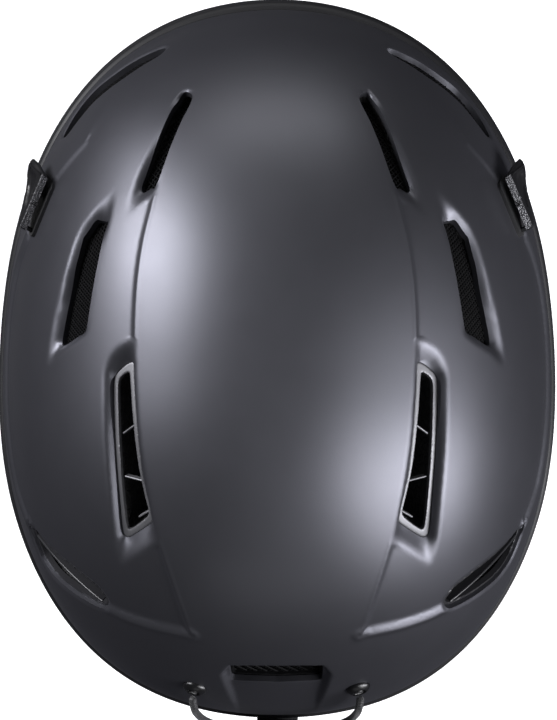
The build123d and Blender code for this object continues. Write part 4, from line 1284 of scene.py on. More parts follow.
def build_cord():
    c, _, _, normal = surface_frame(*CORD_XY)
    point = lift(c)
    ring = lathe(EYELET_PROFILE, point, normal, 44)
    piece("cord_grommet_rings", join_parts([ring, mirrored(ring)]), "helmet_shell", "eyelet",
          "cord_grommets", 50)

    knot_at = point - normal * 8.0
    end = join_parts([tube(np.linspace(knot_at, point + normal * 2.2, 20), CORD_R),
                      lathe(KNOT_PROFILE, knot_at, normal, 20)])
    piece("cord_knots", join_parts([end, mirrored(end)]), "helmet_shell", "cord", "cord_ends")

    path = resample(catmull([point + normal * 3.9, *CORD_PATH], n=14), 0.7, False)
    radii = np.full(len(path), CORD_R)
    radii[:2] = 0.6, 1.25
    around = 16
    part = tube(path, radii, around)
    # uv: centimetres along, turns around; the cap centres stay at zero
    uv = np.zeros((len(part[0]), 2))
    n = len(path) * around
    uv[:n, 0] = np.repeat(running_length(path) * 0.1, around)
    uv[:n, 1] = np.tile(np.arange(around) / around, len(path))
    o = piece("goggle_cord_braid", join_parts([part, mirrored(part)]), "goggle_loop", "cord",
              "goggle_cord")
    set_uv(o, np.vstack([uv, uv]))


# ------------------------------------------------------------------ soft goods
def wobble(p, scale, seed=0.0):
    """smooth deterministic unevenness, about -1 to 1"""
    x, y, z = (np.asarray(p)[:, i] * scale for i in range(3))
    return (np.sin(1.3 * x + 2.1 * y + seed) * np.cos(1.7 * z - 0.9 * x + 2 * seed)
            + 0.6 * np.sin(2.9 * y - 1.1 * z + 3 * seed) * np.sin(2.3 * x + 0.4)
            + 0.35 * np.cos(4.1 * z + 2.7 * y + seed)) / 1.95


def cushion(outline, thick, edge, spacing, seams, seed, holes=()):
    """crowned pad on the cavity wall, its sides rounded over edge mm

    seams(points) gives (distance to the seam, depth, width) for each sewn line."""
    back = -0.5
    v, t = triangulate(outline, spacing, holes, fine=1.0, fine_reach=2.0)
    d = near(tree_of([(outline, True)] + [(h, True) for h in holes], 0.4), v)
    psi, rho = to_polar(v)
    profile = rounded(d, edge)
    base = cavity(psi, rho, back)
    swell = thick * profile * (1 + 0.042 * wobble(base, 0.09, seed))
    for distance, depth, width in seams(base):
        swell = swell - depth * ridge_shape(distance, width) * np.clip(d / 3.0, 0, 1)
    return closed_plate(cavity(psi, rho, back - (0.5 + swell)),
                        cavity(psi, rho, back + 0.25 * (1 - profile)), t)


def vertex_values(me, name):
    values = np.empty(len(me.vertices) * 3)
    me.vertices.foreach_get(name, values)
    return values.reshape(-1, 3)


def bake(o):
    """replaces the mesh by what its modifiers make of it"""
    graph = bpy.context.evaluated_depsgraph_get()
    me = bpy.data.meshes.new_from_object(o.evaluated_get(graph))
    o.modifiers.clear()
    o.data = me


def puff(o, voxel, cap, pressure, frames=20):
    """remeshes a closed cushion and swells it with a cloth run, moving no point beyond cap
"""
    m = o.modifiers.new("re", 'REMESH')
    m.mode = 'VOXEL'
    m.voxel_size = voxel * MM
    bake(o)
    rest = vertex_values(o.data, "co")
    cloth = o.modifiers.new("cloth", 'CLOTH')
    settings = cloth.settings
    settings.quality = 5
    settings.mass = 0.25
    settings.tension_stiffness = settings.compression_stiffness = 12
    settings.shear_stiffness = 4
    settings.bending_stiffness = 0.4
    settings.use_pressure = True
    settings.uniform_pressure_force = pressure
    settings.effector_weights.gravity = 0
    cloth.collision_settings.use_collision = False
    cloth.point_cache.frame_start, cloth.point_cache.frame_end = 1, frames
    for f in range(1, frames + 1):
        bpy.context.scene.frame_set(f)
    bake(o)
    move = vertex_values(o.data, "co") - rest
    length = np.linalg.norm(move, axis=1)
    held = rest + move * np.minimum(1.0, cap * MM / np.maximum(length, 1e-9))[:, None]
    o.data.vertices.foreach_set("co", held.ravel())
    bpy.context.scene.frame_set(1)


def soften(o, voxel, cap, pressure, relief):
    """puffs, subdivides, then moves vertices along their normals by relief(points, normals)"""
    puff(o, voxel, cap, pressure)
    o.data.polygons.foreach_set("use_smooth", [True] * len(o.data.polygons))
    m = o.modifiers.new("sub", 'SUBSURF')
    m.levels = m.render_levels = 1
    bake(o)
    me = o.data
    me.polygons.foreach_set("use_smooth", [True] * len(me.polygons))
    co, normals = vertex_values(me, "co"), vertex_values(me, "normal")
    co = co + normals * (relief(co / MM, normals) * MM)[:, None]
    me.vertices.foreach_set("co", co.ravel())
    me.update()


def clean_normals(o, merge=False):
    bm = bmesh.new()
    bm.from_mesh(o.data)
    if merge:
        bmesh.ops.remove_doubles(bm, verts=bm.verts, dist=1e-5)
    bmesh.ops.recalc_face_normals(bm, faces=bm.faces)
    bm.to_mesh(o.data)
    bm.free()


# ear pads, side view (y, z)
EAR = [(-37, 24.0), (-41.5, 8), (-36.5, -18), (-22, -39), (2, -49.5), (25, -46.5), (41, -31),
       (48.5, -6), (48, 14), (44, 24.0)]
EAR_TOP_Z = 23.2
EAR_OFF = -7.0          # middle of the pad
EAR_HALF = 5.2          # half its thickness

ear_side = catmull(EAR, closed=True, n=10)
ear_side[:, 1] = np.minimum(ear_side[:, 1], EAR_TOP_Z)
ear_side = chaikin(resample(ear_side, 2.5), 3, 0.25)
for _ in range(12):
    ear_side = (np.roll(ear_side, 1, 0) + 2 * ear_side + np.roll(ear_side, -1, 0)) / 4


def ear_ring(inset, step):
    """ear outline moved inwards"""
    return resample(offset_loop(resample(ear_side, 2.0), -inset), step)


ear_channel = ear_ring(9.0, 2.0)


def ear_body():
    outline = from_side(resample(ear_side, 1.6))
    v, t = triangulate(outline, 2.6)
    psi, rho = to_polar(v)
    profile = rounded(near(tree_of([(outline, True)]), v), 8.5)
    return closed_plate(dome(psi, rho, EAR_OFF + EAR_HALF * profile + 0.2),
                        dome(psi, rho, EAR_OFF - (EAR_HALF - 0.7) * profile - 0.2), t)


def ear_relief(p, normals):
    """sewing on a pad at the wearer's left, whose outer face looks to +X"""
    yz = p[:, 1:3]
    y, z = yz[:, 0], yz[:, 1]
    outer, inner = normals[:, 0] > 0.25, normals[:, 0] < -0.25
    d = flat_dist(yz, ear_channel)
    out = np.zeros(len(p))
    # sewn channel near the edge, with a swelling beside it
    out -= 0.9 * ridge_shape(d, 0.8) * (outer | inner)
    out += 0.35 * ridge_shape(d - 2.0, 1.0) * (outer | inner)
    # quilted bars on the outer face
    within = inside(ear_channel, yz)
    for bar_z in (-28.0, -14.0, 0.0):
        c = np.abs(z - bar_z - 3.0 * np.sin((y + 10) / 32.0))
        out -= 0.75 * ridge_shape(c, 0.9) * outer * within
    # round hollow on the inner face
    out -= 1.1 * smooth(1 - np.hypot(y - 4, z + 14) / 17.0) * inner
    out += 0.10 * wobble(p, 0.16, 1.7) + 0.03 * wobble(p, 0.5, 0.4)
    # gathers round the edge
    angle = np.arctan2(z + 10, y - 4)
    out += 0.22 * np.sin(angle * 46) * ridge_shape(flat_dist(yz, ear_side) - 3.0, 2.6)
    return out


def ear_stitches():
    """short threads inside the sewn channel, on the outer face"""
    line = lift(from_side(ear_ring(11.2, 0.9)), -0.55)
    return join_parts([tube(line[i:i + 3], 0.22, 5)
                       for i in range(0, len(line) - 3, 4) if line[i][2] < 6.0])


def build_ear_pads():
    body = ear_body()
    welt = lift(from_side(resample(ear_side, 1.2)), EAR_OFF)
    welt = tube(np.vstack([welt, welt[:2]]), 1.05, 9, caps=False)
    stitches = ear_stitches()
    for tag, side in SIDES:
        o = new_mesh("ear_pad_cushion_" + tag, *body)
        soften(o, voxel=2.6, cap=1.3, pressure=3.5, relief=ear_relief)
        if side < 0:
            co = vertex_values(o.data, "co")
            co[:, 0] *= -1
            o.data.vertices.foreach_set("co", co.ravel())
            o.data.flip_normals()
            o.data.update()
        register(o, "ear_" + tag, "ear", "ear_pad_" + tag)
        piece("ear_pad_welt_" + tag, on_side(welt, side), "ear_" + tag, "webbing", None)
        piece("ear_pad_stitches_" + tag, on_side(stitches, side), "ear_" + tag, "stitch", None)


# comfort lining on the cavity wall
# crown pad and its four slots, plan (x, y)
CROWN = [(-19, -72), (19, -72), (29, -48), (29.5, 50), (17, 71), (-17, 71), (-29.5, 50),
         (-29, -48)]
CROWN_SLOTS = [(-19, -44, -9, -4), (9, -44, 19, -4), (-19, 8, -9, 46), (9, 8, 19, 46)]
# side pad and its slots: degrees from the front, z
SIDE_PAD = [(52, 62), (52, 76), (56, 90), (68, 103), (90, 108), (112, 104), (126, 92),
            (131, 76), (131, 62), (110, 61), (90, 61), (70, 61)]
SIDE_SLOTS = [[(64, 70), (84, 69), (84, 88), (68, 86)], [(98, 69), (118, 70), (114, 86),
                                                         (98, 88)]]


def degrees_round(p):
    return np.degrees(np.arctan2(p[:, 0], -(p[:, 1] - CENTRE_Y)))


def brow_seams(p):
    return [(np.abs(degrees_round(p) - a) * 1.75, 2.2, 1.0) for a in (-30, -15, 0, 15, 30)]


def crown_seams(p):
    return [(np.abs(p[:, 1] - y), 1.8, 1.1) for y in (-52.0, 2.0, 54.0)] \
        + [(np.abs(p[:, 0]), 1.5, 1.0)]


def side_seams(p):
    return [(np.abs(degrees_round(p) - 91) * 1.5, 1.8, 1.1)]


def build_lining():
    brow = from_cavity_wall([(a, 47.2) for a in np.linspace(-44, 44, 15)]
                            + [(a, 65.0) for a in np.linspace(42, -42, 15)])
    part = cushion(resample(chaikin(brow, 2, 0.2), 1.4), thick=5.4, edge=4.5, spacing=1.5,
                   seams=brow_seams, seed=0.3)
    piece("brow_comfort_pad", part, "helmet_shell", "lining", "brow_pad")

    crown = from_plan(smooth_loop(CROWN, 1.6), in_cavity=True)
    slots = []
    for x0, y0, x1, y1 in CROWN_SLOTS:
        corners = [(x0, y0), (x1, y0), (x1, y1), (x0, y1)]
        slots.append(from_plan(resample(chaikin(corners, 3, 0.25), 1.5), in_cavity=True))
    part = cushion(crown, thick=4.8, edge=4.0, spacing=1.7, seams=crown_seams, seed=1.1,
                   holes=slots)
    piece("crown_comfort_pad", part, "helmet_shell", "lining", "crown_pad")

    outline = resample(chaikin(from_cavity_wall(SIDE_PAD), 2, 0.22), 1.6)
    slots = [resample(chaikin(from_cavity_wall(s), 3, 0.25), 1.5) for s in SIDE_SLOTS]
    part = cushion(outline, thick=5.0, edge=4.0, spacing=1.7, seams=side_seams, seed=2.2,
                   holes=slots)
    pairs([("side_comfort_pad_", part, "lining", "side_pad_", "lining", 0)])


# nape pads on the cradle
NAPE_X, NAPE_Y, NAPE_Z = 21.0, 87.9, -24.0
NAPE_W, NAPE_H, NAPE_T = 31.0, 29.0, 5.2


def pillow(width, height, thick, n=26, power=4.0):
    """crowned cushion standing in the XZ plane, with rounded corners"""
    verts, faces = [], []
    for face_side in (1, -1):
        for i in range(n + 1):
            for j in range(n + 1):
                a, b = -1 + 2 * i / n, -1 + 2 * j / n
                # square to rounded square
                r = (abs(a) ** power + abs(b) ** power) ** (1 / power)
                m = max(abs(a), abs(b))
                k = m / r if r > 0 else 1
                bulge = math.sqrt(max(0, 1 - (1 - min(1, (1 - m) / 0.34)) ** 2))
                verts.append((a * k * width / 2, face_side * bulge * thick / 2,
                              b * k * height / 2))
    m = n + 1
    for start in (0, m * m):
        for i in range(n):
            for j in range(n):
                q = (start + i * m + j, start + (i + 1) * m + j, start + (i + 1) * m + j + 1,
                     start + i * m + j + 1)
                faces.append(q if start else tuple(reversed(q)))
    return np.array(verts, float), faces


def build_nape_pads():
    for tag, side in SIDES:
        v, f = pillow(NAPE_W, NAPE_H, NAPE_T)
        v += np.array([NAPE_X * side, NAPE_Y, NAPE_Z])
        # the pad wraps slightly round the nape
        v[:, 1] -= 0.0012 * (v[:, 0] * side - 4) ** 2
        o = new_mesh("nape_cushion_" + tag, v, f)
        clean_normals(o, merge=True)

        def relief(p, normals, side=side):
            """an upright seam and a sewn ring on the front face"""
            x, z = p[:, 0] * side - NAPE_X, p[:, 2] - NAPE_Z
            sewn = ridge_shape(x, 0.8) + ridge_shape(np.hypot(x / 1.06, z) - 11.0, 0.8)
            return -0.55 * sewn * (normals[:, 1] < -0.3) + 0.12 * wobble(p, 0.5, 0.9)

        soften(o, voxel=1.8, cap=1.0, pressure=3.0, relief=relief)
        register(o, "cradle", "lining", "nape_pad_" + tag)


# ------------------------------------------------------------------ webbing
# side straps on the wearer's left: key, two points on the strap's line
SIDE_STRAPS = [("front", (88.5, -36.5, 36.0), (78.5, -1.5, -33.0)),
               ("rear", (88.5, 36.5, 36.0), (78.5, 9.5, -33.0))]
STRAP_TOP_Z, STRAP_BOTTOM_Z = 29.4, -31.0


def build_side_straps():
    for tag, side in SIDES:
        for key, a, b in SIDE_STRAPS:
            a, b = np.array(a), np.array(b)
            per_z = (b - a) / (b[2] - a[2])
            start, end = ((a + per_z * (z - a[2])) * np.array([side, 1, 1])
                          for z in (STRAP_TOP_Z, STRAP_BOTTOM_Z))
            d = (end - start) / np.linalg.norm(end - start)
            across = np.cross(d, [1.0, 0, 0])
            across /= np.linalg.norm(across)
            centres = start + (end - start) * np.linspace(0, 1, 40)[:, None]
            part, uv = ribbon(centres, across, np.cross(across, d), 15.0, 1.4)
            o = piece(key + "_strap_web_" + tag, part, "helmet_shell", "webbing",
                      key + "_strap_" + tag, 50)
            set_uv(o, uv)


# the chin strap lies in a tilted plane through the pivots: (x, h), h down and forwards
PIVOT_X = 75.5
PIVOT = np.array([0, 4.0, -44.0])
TILT = math.radians(35)
PLANE_DOWN = np.array([0, -math.sin(TILT), -math.cos(TILT)])
PLANE_NORMAL = np.array([0, math.cos(TILT), -math.sin(TILT)])
BUCKLE = (38.0, 62.0)
BUCKLE_ALONG, BUCKLE_ACROSS = (-0.8944, 0.4472), (0.4472, 0.8944)


def by_buckle(a, b):
    """(x, h) at a along and b across the buckle"""
    return tuple(BUCKLE[i] + BUCKLE_ALONG[i] * a + BUCKLE_ACROSS[i] * b for i in range(2))


LEFT_PATH = [(PIVOT_X, -8), (PIVOT_X, 8), (74.0, 24), (67.6, 41),
             by_buckle(-22, 2.5), by_buckle(-14, 2.5), by_buckle(-7, 2.5)]
RIGHT_PATH = [(-PIVOT_X, -8), (-PIVOT_X, 8), (-74.0, 24), (-67.0, 41), (-54.0, 54.5),
              (-36.0, 64.5), (-14.0, 70.8), (4.0, 71.4),
              by_buckle(22, -3.6), by_buckle(14, -3.6), by_buckle(7, -3.6)]
TAIL_PATH = [(-73.9, 27.0), (-71.5, 33.0), (-67.0, 41.0), (-60.5, 48.5)]
CHIN_PAD_PATH = [(-34.0, 65.3), (-14.0, 70.8), (0.0, 71.55), (8.0, 71.0)]
# side: path, shares of its length where a bar tack lies
TACKS = {"left": (LEFT_PATH, (0.55, 0.16)), "right": (RIGHT_PATH, (0.30, 0.075))}


def plane_spline(pts, step=1.2):
    return resample(catmull(pts, n=16), step, False)


def in_space(path):
    """(x, h) path as points in space, and the strap's normal at each"""
    c = np.array([PIVOT + np.array([x, 0, 0]) + PLANE_DOWN * h for x, h in path])
    normal = np.cross(directions(c), PLANE_NORMAL)
    return c, normal / np.linalg.norm(normal, axis=1)[:, None]


def chin_web(name, path, tag, width, thick, off=0.0, replaces=None):
    c, normal = in_space(plane_spline(path))
    part, uv = ribbon(c + normal * off, PLANE_NORMAL, normal, width, thick)
    o = piece(name, part, "chin_" + tag, "webbing", replaces, 50)
    set_uv(o, uv)


def bar_tack(path, share):
    """zigzag thread across the strap, on both faces"""
    reach = 6       # path points on either side of the tack
    line = plane_spline(path, 0.5)
    k = int(share * len(line))
    c, normal = in_space(line[k - reach:k + reach + 1])
    places = np.arange(len(c))
    parts = []
    for face in (1, -1):
        zigzag = []
        for i in range(41):
            place = reach + (2.2 if i % 2 else -2.2)
            at = np.array([np.interp(place, places, c[:, q]) for q in range(3)])
            zigzag.append(at + PLANE_NORMAL * (i / 40 - 0.5) * 14.0
                          + normal[reach] * 0.86 * face)
        parts.append(tube(np.array(zigzag), 0.2, 5))
    return join_parts(parts)


def build_chin_straps():
    for tag, path in (("left", LEFT_PATH), ("right", RIGHT_PATH)):
        chin_web("chin_web_" + tag, path, tag, 18.0, 1.5, replaces="chin_strap_" + tag)
    # folded and sewn end beside the right strap
    chin_web("chin_web_tail", TAIL_PATH, "right", 17.2, 1.2, off=1.5)
    for tag, (path, shares) in TACKS.items():
        piece("strap_bar_tacks_" + tag, join_parts([bar_tack(path, s) for s in shares]),
              "chin_" + tag, "stitch", None)


def chin_relief(p, normals):
    """two seams along the sleeve and three across"""
    w = (p - PIVOT) @ PLANE_NORMAL
    seam = 9.5
    out = -0.6 * ridge_shape(np.abs(w) - seam, 0.7)
    for x in (-24.0, -13.0, -2.0):
        out -= 0.5 * ridge_shape(p[:, 0] - x, 0.8) * (np.abs(w) < seam)
    return out + 0.1 * wobble(p, 0.5, 0.2)


def build_chin_pad():
    """padded sleeve round the strap, closing in at both ends"""
    half_w, half_t, around = 14.2, 4.0, 40
    c, normal = in_space(plane_spline(CHIN_PAD_PATH, 0.9))
    last = len(c) - 1
    verts = []
    for i in range(len(c)):
        from_end = min(i / last, 1 - i / last) * last * 0.9
        k = max(math.sqrt(max(0.0, 1 - (1 - min(1, from_end / 5.0)) ** 2)), 0.18)
        for j in range(around):
            a = 2 * math.pi * j / around
            ca, sa = math.cos(a), math.sin(a)
            w = abs(ca) ** 0.6 * (1 if ca > 0 else -1) * half_w * (0.82 + 0.18 * k)
            t = abs(sa) ** 0.75 * (1 if sa > 0 else -1) * half_t * k
            verts.append(c[i] + PLANE_NORMAL * w + normal[i] * t)
    o = new_mesh("chin_pad_sleeve", np.array(verts), quads(len(c), around, ends=True))
    clean_normals(o)
    soften(o, voxel=1.7, cap=0.9, pressure=3.0, relief=chin_relief)
    register(o, "chin_right", "lining", "chin_pad")


# rim trim section: outwards, upwards
TRIM_PROFILE = [(1.7, 0.7), (1.95, 0.1), (1.8, -0.7), (1.1, -1.25), (0.0, -1.4), (-1.1, -1.25),
                (-1.8, -0.7), (-1.95, 0.1), (-1.7, 0.7)]


def build_rim_trim():
    """rubber strip round the lower edge"""
    line = side_line(RIM, step=2.0)
    outer, inner = lift(line, -1.0), lift(line, -4.4)
    centre = np.vstack([(outer + inner) / 2, ((outer + inner) / 2)[:2]])
    out = np.vstack([outer - inner, (outer - inner)[:2]])
    out /= np.linalg.norm(out, axis=1)[:, None]
    up = np.cross(directions(centre), out)
    up /= np.linalg.norm(up, axis=1)[:, None]
    up[up[:, 2] < 0] *= -1
    verts = np.vstack([[centre[i] + out[i] * a + up[i] * b for a, b in TRIM_PROFILE]
                       for i in range(len(centre))])
    piece("rim_trim_strip", (verts, quads(len(centre), len(TRIM_PROFILE))), "helmet_shell",
          "rubber", None, 60)


# ------------------------------------------------------------------ materials
class Surface:
    """principled material whose textures lie in object space (metres) unless given uv"""

    def __init__(self, name, base, rough, metal=0.0):
        self.material = bpy.data.materials.new(name)
        self.material.use_nodes = True
        self.tree = self.material.node_tree
        self.shader = self.tree.nodes["Principled BSDF"]
        self.set("Base Color", (*base, 1))
        self.set("Roughness", rough)
        self.set("Metallic", metal)
        coords = self.node("TexCoord")
        self.object_space = coords.outputs["Object"]
        self.uv = coords.outputs["UV"]
        self.last_bump = None

    def set(self, name, value):
        self.shader.inputs[name].default_value = value

    def node(self, kind, **inputs):
        x = self.tree.nodes.new("ShaderNode" + kind)
        for name, value in inputs.items():
            x.inputs[name].default_value = value
        return x

    def link(self, a, b):
        self.tree.links.new(a, b)

    def mapped(self, name, value):
        """object space through a mapping with one of its inputs set"""
        x = self.node("Mapping", **{name: value})
        self.link(self.object_space, x.inputs["Vector"])
        return x.outputs["Vector"]

    def noise(self, scale, detail=2.0, rough=0.5, stretch=None):
        x = self.node("TexNoise", Scale=scale, Detail=detail, Roughness=rough)
        source = self.mapped("Scale", stretch) if stretch else self.object_space
        self.link(source, x.inputs["Vector"])
        return x.outputs["Fac"]

    def voronoi(self, scale, feature='F1'):
        x = self.node("TexVoronoi")
        x.feature = feature
        x.inputs["Scale"].default_value = scale
        x.inputs["Randomness"].default_value = 1.0
        self.link(self.object_space, x.inputs["Vector"])
        return x.outputs["Distance"]

    def wave(self, scale, direction, distortion, turn=None):
        x = self.node("TexWave", Scale=scale, Distortion=distortion)
        x.wave_type = 'BANDS'
        x.bands_direction = direction
        source = self.object_space if turn is None else self.mapped("Rotation", turn)
        self.link(source, x.inputs["Vector"])
        return x.outputs["Fac"]

    def split_uv(self):
        x = self.node("SeparateXYZ")
        self.link(self.uv, x.inputs[0])
        return x.outputs[0], x.outputs[1]

    def math(self, operation, *values):
        x = self.node("Math")
        x.operation = operation
        for i, v in enumerate(values):
            if isinstance(v, bpy.types.NodeSocket):
                self.link(v, x.inputs[i])
            else:
                x.inputs[i].default_value = v
        return x.outputs[0]

    def remap(self, value, start, end, low=0, high=1):
        """start to end becomes low to high"""
        x = self.node("MapRange")
        self.link(value, x.inputs[0])
        for i, q in enumerate((start, end, low, high)):
            x.inputs[i + 1].default_value = q
        return x.outputs[0]

    def colour(self, factor, first, second):
        x = self.node("Mix")
        x.data_type = 'RGBA'
        x.inputs[6].default_value = (*first, 1)
        x.inputs[7].default_value = (*second, 1)
        self.link(factor, x.inputs[0])
        self.link(x.outputs[2], self.shader.inputs["Base Color"])

    def rough(self, value, low, high):
        self.link(self.remap(value, 0, 1, low, high), self.shader.inputs["Roughness"])

    def bump(self, height, strength, distance):
        """adds a bump on top of the earlier ones"""
        x = self.node("Bump", Strength=strength, Distance=distance)
        self.link(height, x.inputs["Height"])
        if self.last_bump:
            self.link(self.last_bump.outputs["Normal"], x.inputs["Normal"])
        self.last_bump = x
        self.link(x.outputs["Normal"], self.shader.inputs["Normal"])


def scaled(colour, k):
    return tuple(x * k for x in colour)


def shell_paint():
    m = Surface("shell_graphite_satin", (0.100, 0.101, 0.115), rough=0.44, metal=0.88)
    m.colour(m.noise(scale=9.0, detail=3), (0.098, 0.099, 0.112), (0.112, 0.113, 0.129))
    m.rough(m.noise(scale=60.0, detail=4, rough=0.6), low=0.42, high=0.47)
    m.bump(m.noise(scale=1500.0), strength=0.035, distance=0.0004)
    m.bump(m.noise(scale=140.0), strength=0.02, distance=0.0008)
    return m.material


def plastic(name, base, rough, grain, strength, metal=0.0, specular=None):
    """grained plastic; grain is the bump's scale and strength its depth"""
    m = Surface(name, base, rough, metal)
    m.colour(m.noise(scale=30.0, detail=3), scaled(base, 0.86), scaled(base, 1.14))
    m.rough(m.noise(scale=90.0, detail=3), low=rough - 0.06, high=rough + 0.07)
    m.bump(m.noise(scale=grain, detail=3, rough=0.6), strength, distance=0.0003)
    if specular is not None:
        m.set("Specular IOR Level", specular)
    return m.material


def foam_beads():
    m = Surface("foam_beads", (0.008, 0.008, 0.009), rough=0.8)
    beads = m.voronoi(scale=330.0)
    edges = m.voronoi(scale=330.0, feature='DISTANCE_TO_EDGE')
    m.colour(m.remap(edges, start=0.0, end=0.16), (0.003, 0.003, 0.003), (0.013, 0.013, 0.0135))
    m.bump(m.remap(edges, start=0.0, end=0.2), strength=0.7, distance=0.0006)
    m.rough(beads, low=0.45, high=0.8)
    return m.material


def knit(name, dark, light, scale, sheen):
    """close knit fabric: crossing rows of yarn with a fuzz over it"""
    m = Surface(name, dark, rough=0.85)
    rows = m.wave(scale, 'DIAGONAL', distortion=0.6, turn=(0, 0, 0))
    crossing = m.wave(scale, 'DIAGONAL', distortion=0.6, turn=(0, 0, math.pi / 2))
    level = m.wave(scale, 'Z', distortion=0.8)
    yarn = m.math('MULTIPLY', m.math('ADD', rows, crossing), m.math('ADD', level, 0.4))
    fuzz = m.noise(scale=3200.0, detail=3, rough=0.7)
    patches = m.noise(scale=45.0, detail=3)
    tone = m.math('ADD', m.remap(yarn, start=0, end=2.4, low=0, high=0.8),
                  m.remap(fuzz, start=0.3, end=0.7, low=-0.15, high=0.3))
    shade = m.remap(patches, start=0.3, end=0.7, low=0.75, high=1.15)
    m.colour(m.math('MULTIPLY', tone, shade), dark, light)
    m.bump(yarn, strength=0.45, distance=0.00035)
    m.bump(fuzz, strength=0.4, distance=0.0003)
    m.set("Sheen Weight", sheen)
    m.set("Sheen Roughness", 0.45)
    return m.material


def webbing(name, dark, light):
    """strap weave from the strap's uv: rows along it and a herringbone across"""
    row_rate, fold_rate, diagonal_rate, fold_shift = 62.0, 10.0, 70.0, 9.0
    m = Surface(name, dark, rough=0.62)
    u, v = m.split_uv()
    rows = m.math('SINE', m.math('MULTIPLY', v, row_rate))
    fold = m.math('PINGPONG', m.math('MULTIPLY', v, fold_rate), 1.0)
    diagonal = m.math('SINE', m.math('ADD', m.math('MULTIPLY', u, diagonal_rate),
                                     m.math('MULTIPLY', fold, fold_shift)))
    weave = m.math('ADD', m.math('MULTIPLY', diagonal, 0.6), m.math('MULTIPLY', rows, 0.4))
    fuzz = m.noise(scale=4000.0)
    m.colour(m.remap(weave, start=-1, end=1), dark, light)
    m.bump(m.remap(weave, start=-1, end=1), strength=0.8, distance=0.0004)
    m.bump(fuzz, strength=0.2, distance=0.0002)
    m.set("Sheen Weight", 0.25)
    m.rough(fuzz, low=0.5, high=0.72)
    return m.material


def cord_braid():
    """two crossing helices from the cord's uv"""
    along_rate, around_rate = 52.0, 25.133      # around: four strands each way
    m = Surface("cord_braid", (0.006, 0.006, 0.0065), rough=0.42)
    u, v = m.split_uv()
    helices = [m.math('SINE', m.math(way, m.math('MULTIPLY', u, along_rate),
                                     m.math('MULTIPLY', v, around_rate)))
               for way in ('ADD', 'SUBTRACT')]
    braid = m.math('MAXIMUM', *helices)
    m.colour(m.remap(braid, start=-0.5, end=1), (0.0025, 0.0025, 0.0026),
             (0.013, 0.013, 0.0145))
    m.bump(m.remap(braid, start=-0.5, end=1), strength=0.5, distance=0.0004)
    m.bump(m.noise(scale=4000.0), strength=0.2, distance=0.0002)
    m.set("Sheen Weight", 0.2)
    return m.material


def brushed_metal(name, base, rough):
    m = Surface(name, base, rough, metal=1.0)
    brush = m.noise(scale=1.0, detail=3, rough=0.6, stretch=(400, 400, 6000))
    m.rough(brush, low=rough - 0.08, high=rough + 0.12)
    m.colour(m.noise(scale=40.0, detail=3), scaled(base, 0.85), base)
    m.bump(brush, strength=0.06, distance=0.0002)
    return m.material


def grip_silver():
    """knurled silver"""
    m = Surface("grip_silver", (0.35, 0.35, 0.36), rough=0.42, metal=0.6)
    knurls = m.voronoi(scale=1500.0)
    m.colour(knurls, (0.34, 0.34, 0.355), (0.05, 0.05, 0.053))
    m.bump(knurls, strength=0.9, distance=0.0007)
    m.rough(m.noise(scale=900.0), low=0.32, high=0.55)
    return m.material


def rubber(name, base, rough):
    m = Surface(name, base, rough)
    m.colour(m.noise(scale=70.0, detail=4), scaled(base, 0.75), scaled(base, 1.5))
    m.rough(m.noise(scale=200.0, detail=3), low=rough - 0.07, high=rough + 0.08)
    m.bump(m.noise(scale=1800.0, detail=3, rough=0.6), strength=0.12, distance=0.0003)
    return m.material


def make_materials():
    return {
        "shell": shell_paint(),
        "shell_low": plastic("shell_black_matte", (0.011, 0.011, 0.0122), rough=0.50,
                             grain=2200.0, strength=0.10, specular=0.32),
        "foam": foam_beads(),
        # screens: black nylon, darkened further as painted shade for the shadowed insides of the
        # vents
        "screen": plastic("screen_nylon_painted_shade", (0.0022, 0.0022, 0.0026), rough=0.72, grain=3000.0,
                          strength=0.1, specular=0.12),
        "frame": plastic("frame_graphite_silver", (0.17, 0.17, 0.18), rough=0.45, grain=2400.0,
                         strength=0.08, metal=0.6),
        "exhaust": plastic("exhaust_black", (0.020, 0.020, 0.022), rough=0.34, grain=2400.0,
                           strength=0.08),
        "clip": plastic("clip_black", (0.006, 0.006, 0.0066), rough=0.40, grain=2400.0,
                        strength=0.14),
        "eyelet": plastic("eyelet_black", (0.007, 0.007, 0.0076), rough=0.28, grain=2400.0,
                          strength=0.05),
        "black": plastic("plastic_black_grained", (0.016, 0.016, 0.0175), rough=0.48,
                         grain=2400.0, strength=0.25),
        "grey": plastic("plastic_grey_grained", (0.045, 0.045, 0.05), rough=0.5, grain=2400.0,
                        strength=0.22),
        "steel": brushed_metal("steel_brushed", (0.55, 0.55, 0.57), rough=0.3),
        "rubber": rubber("rubber_black", (0.016, 0.016, 0.017), rough=0.62),
        "cord": cord_braid(),
        "lining": knit("lining_knit", (0.012, 0.012, 0.014), (0.052, 0.052, 0.06),
                       scale=1100.0, sheen=0.35),
        "ear": knit("ear_knit", (0.012, 0.012, 0.014), (0.046, 0.046, 0.052), scale=800.0,
                    sheen=0.3),
        "webbing": webbing("webbing_black", (0.006, 0.006, 0.0065), (0.040, 0.040, 0.043)),
        "stitch": plastic("stitch_thread", (0.075, 0.075, 0.08), rough=0.6, grain=4000.0,
                          strength=0.2),
        "grip": grip_silver(),
        "knob": rubber("knob_rubber", (0.02, 0.02, 0.021), rough=0.55),
        "screw": brushed_metal("steel_blackened", (0.06, 0.06, 0.065), rough=0.42),
    }


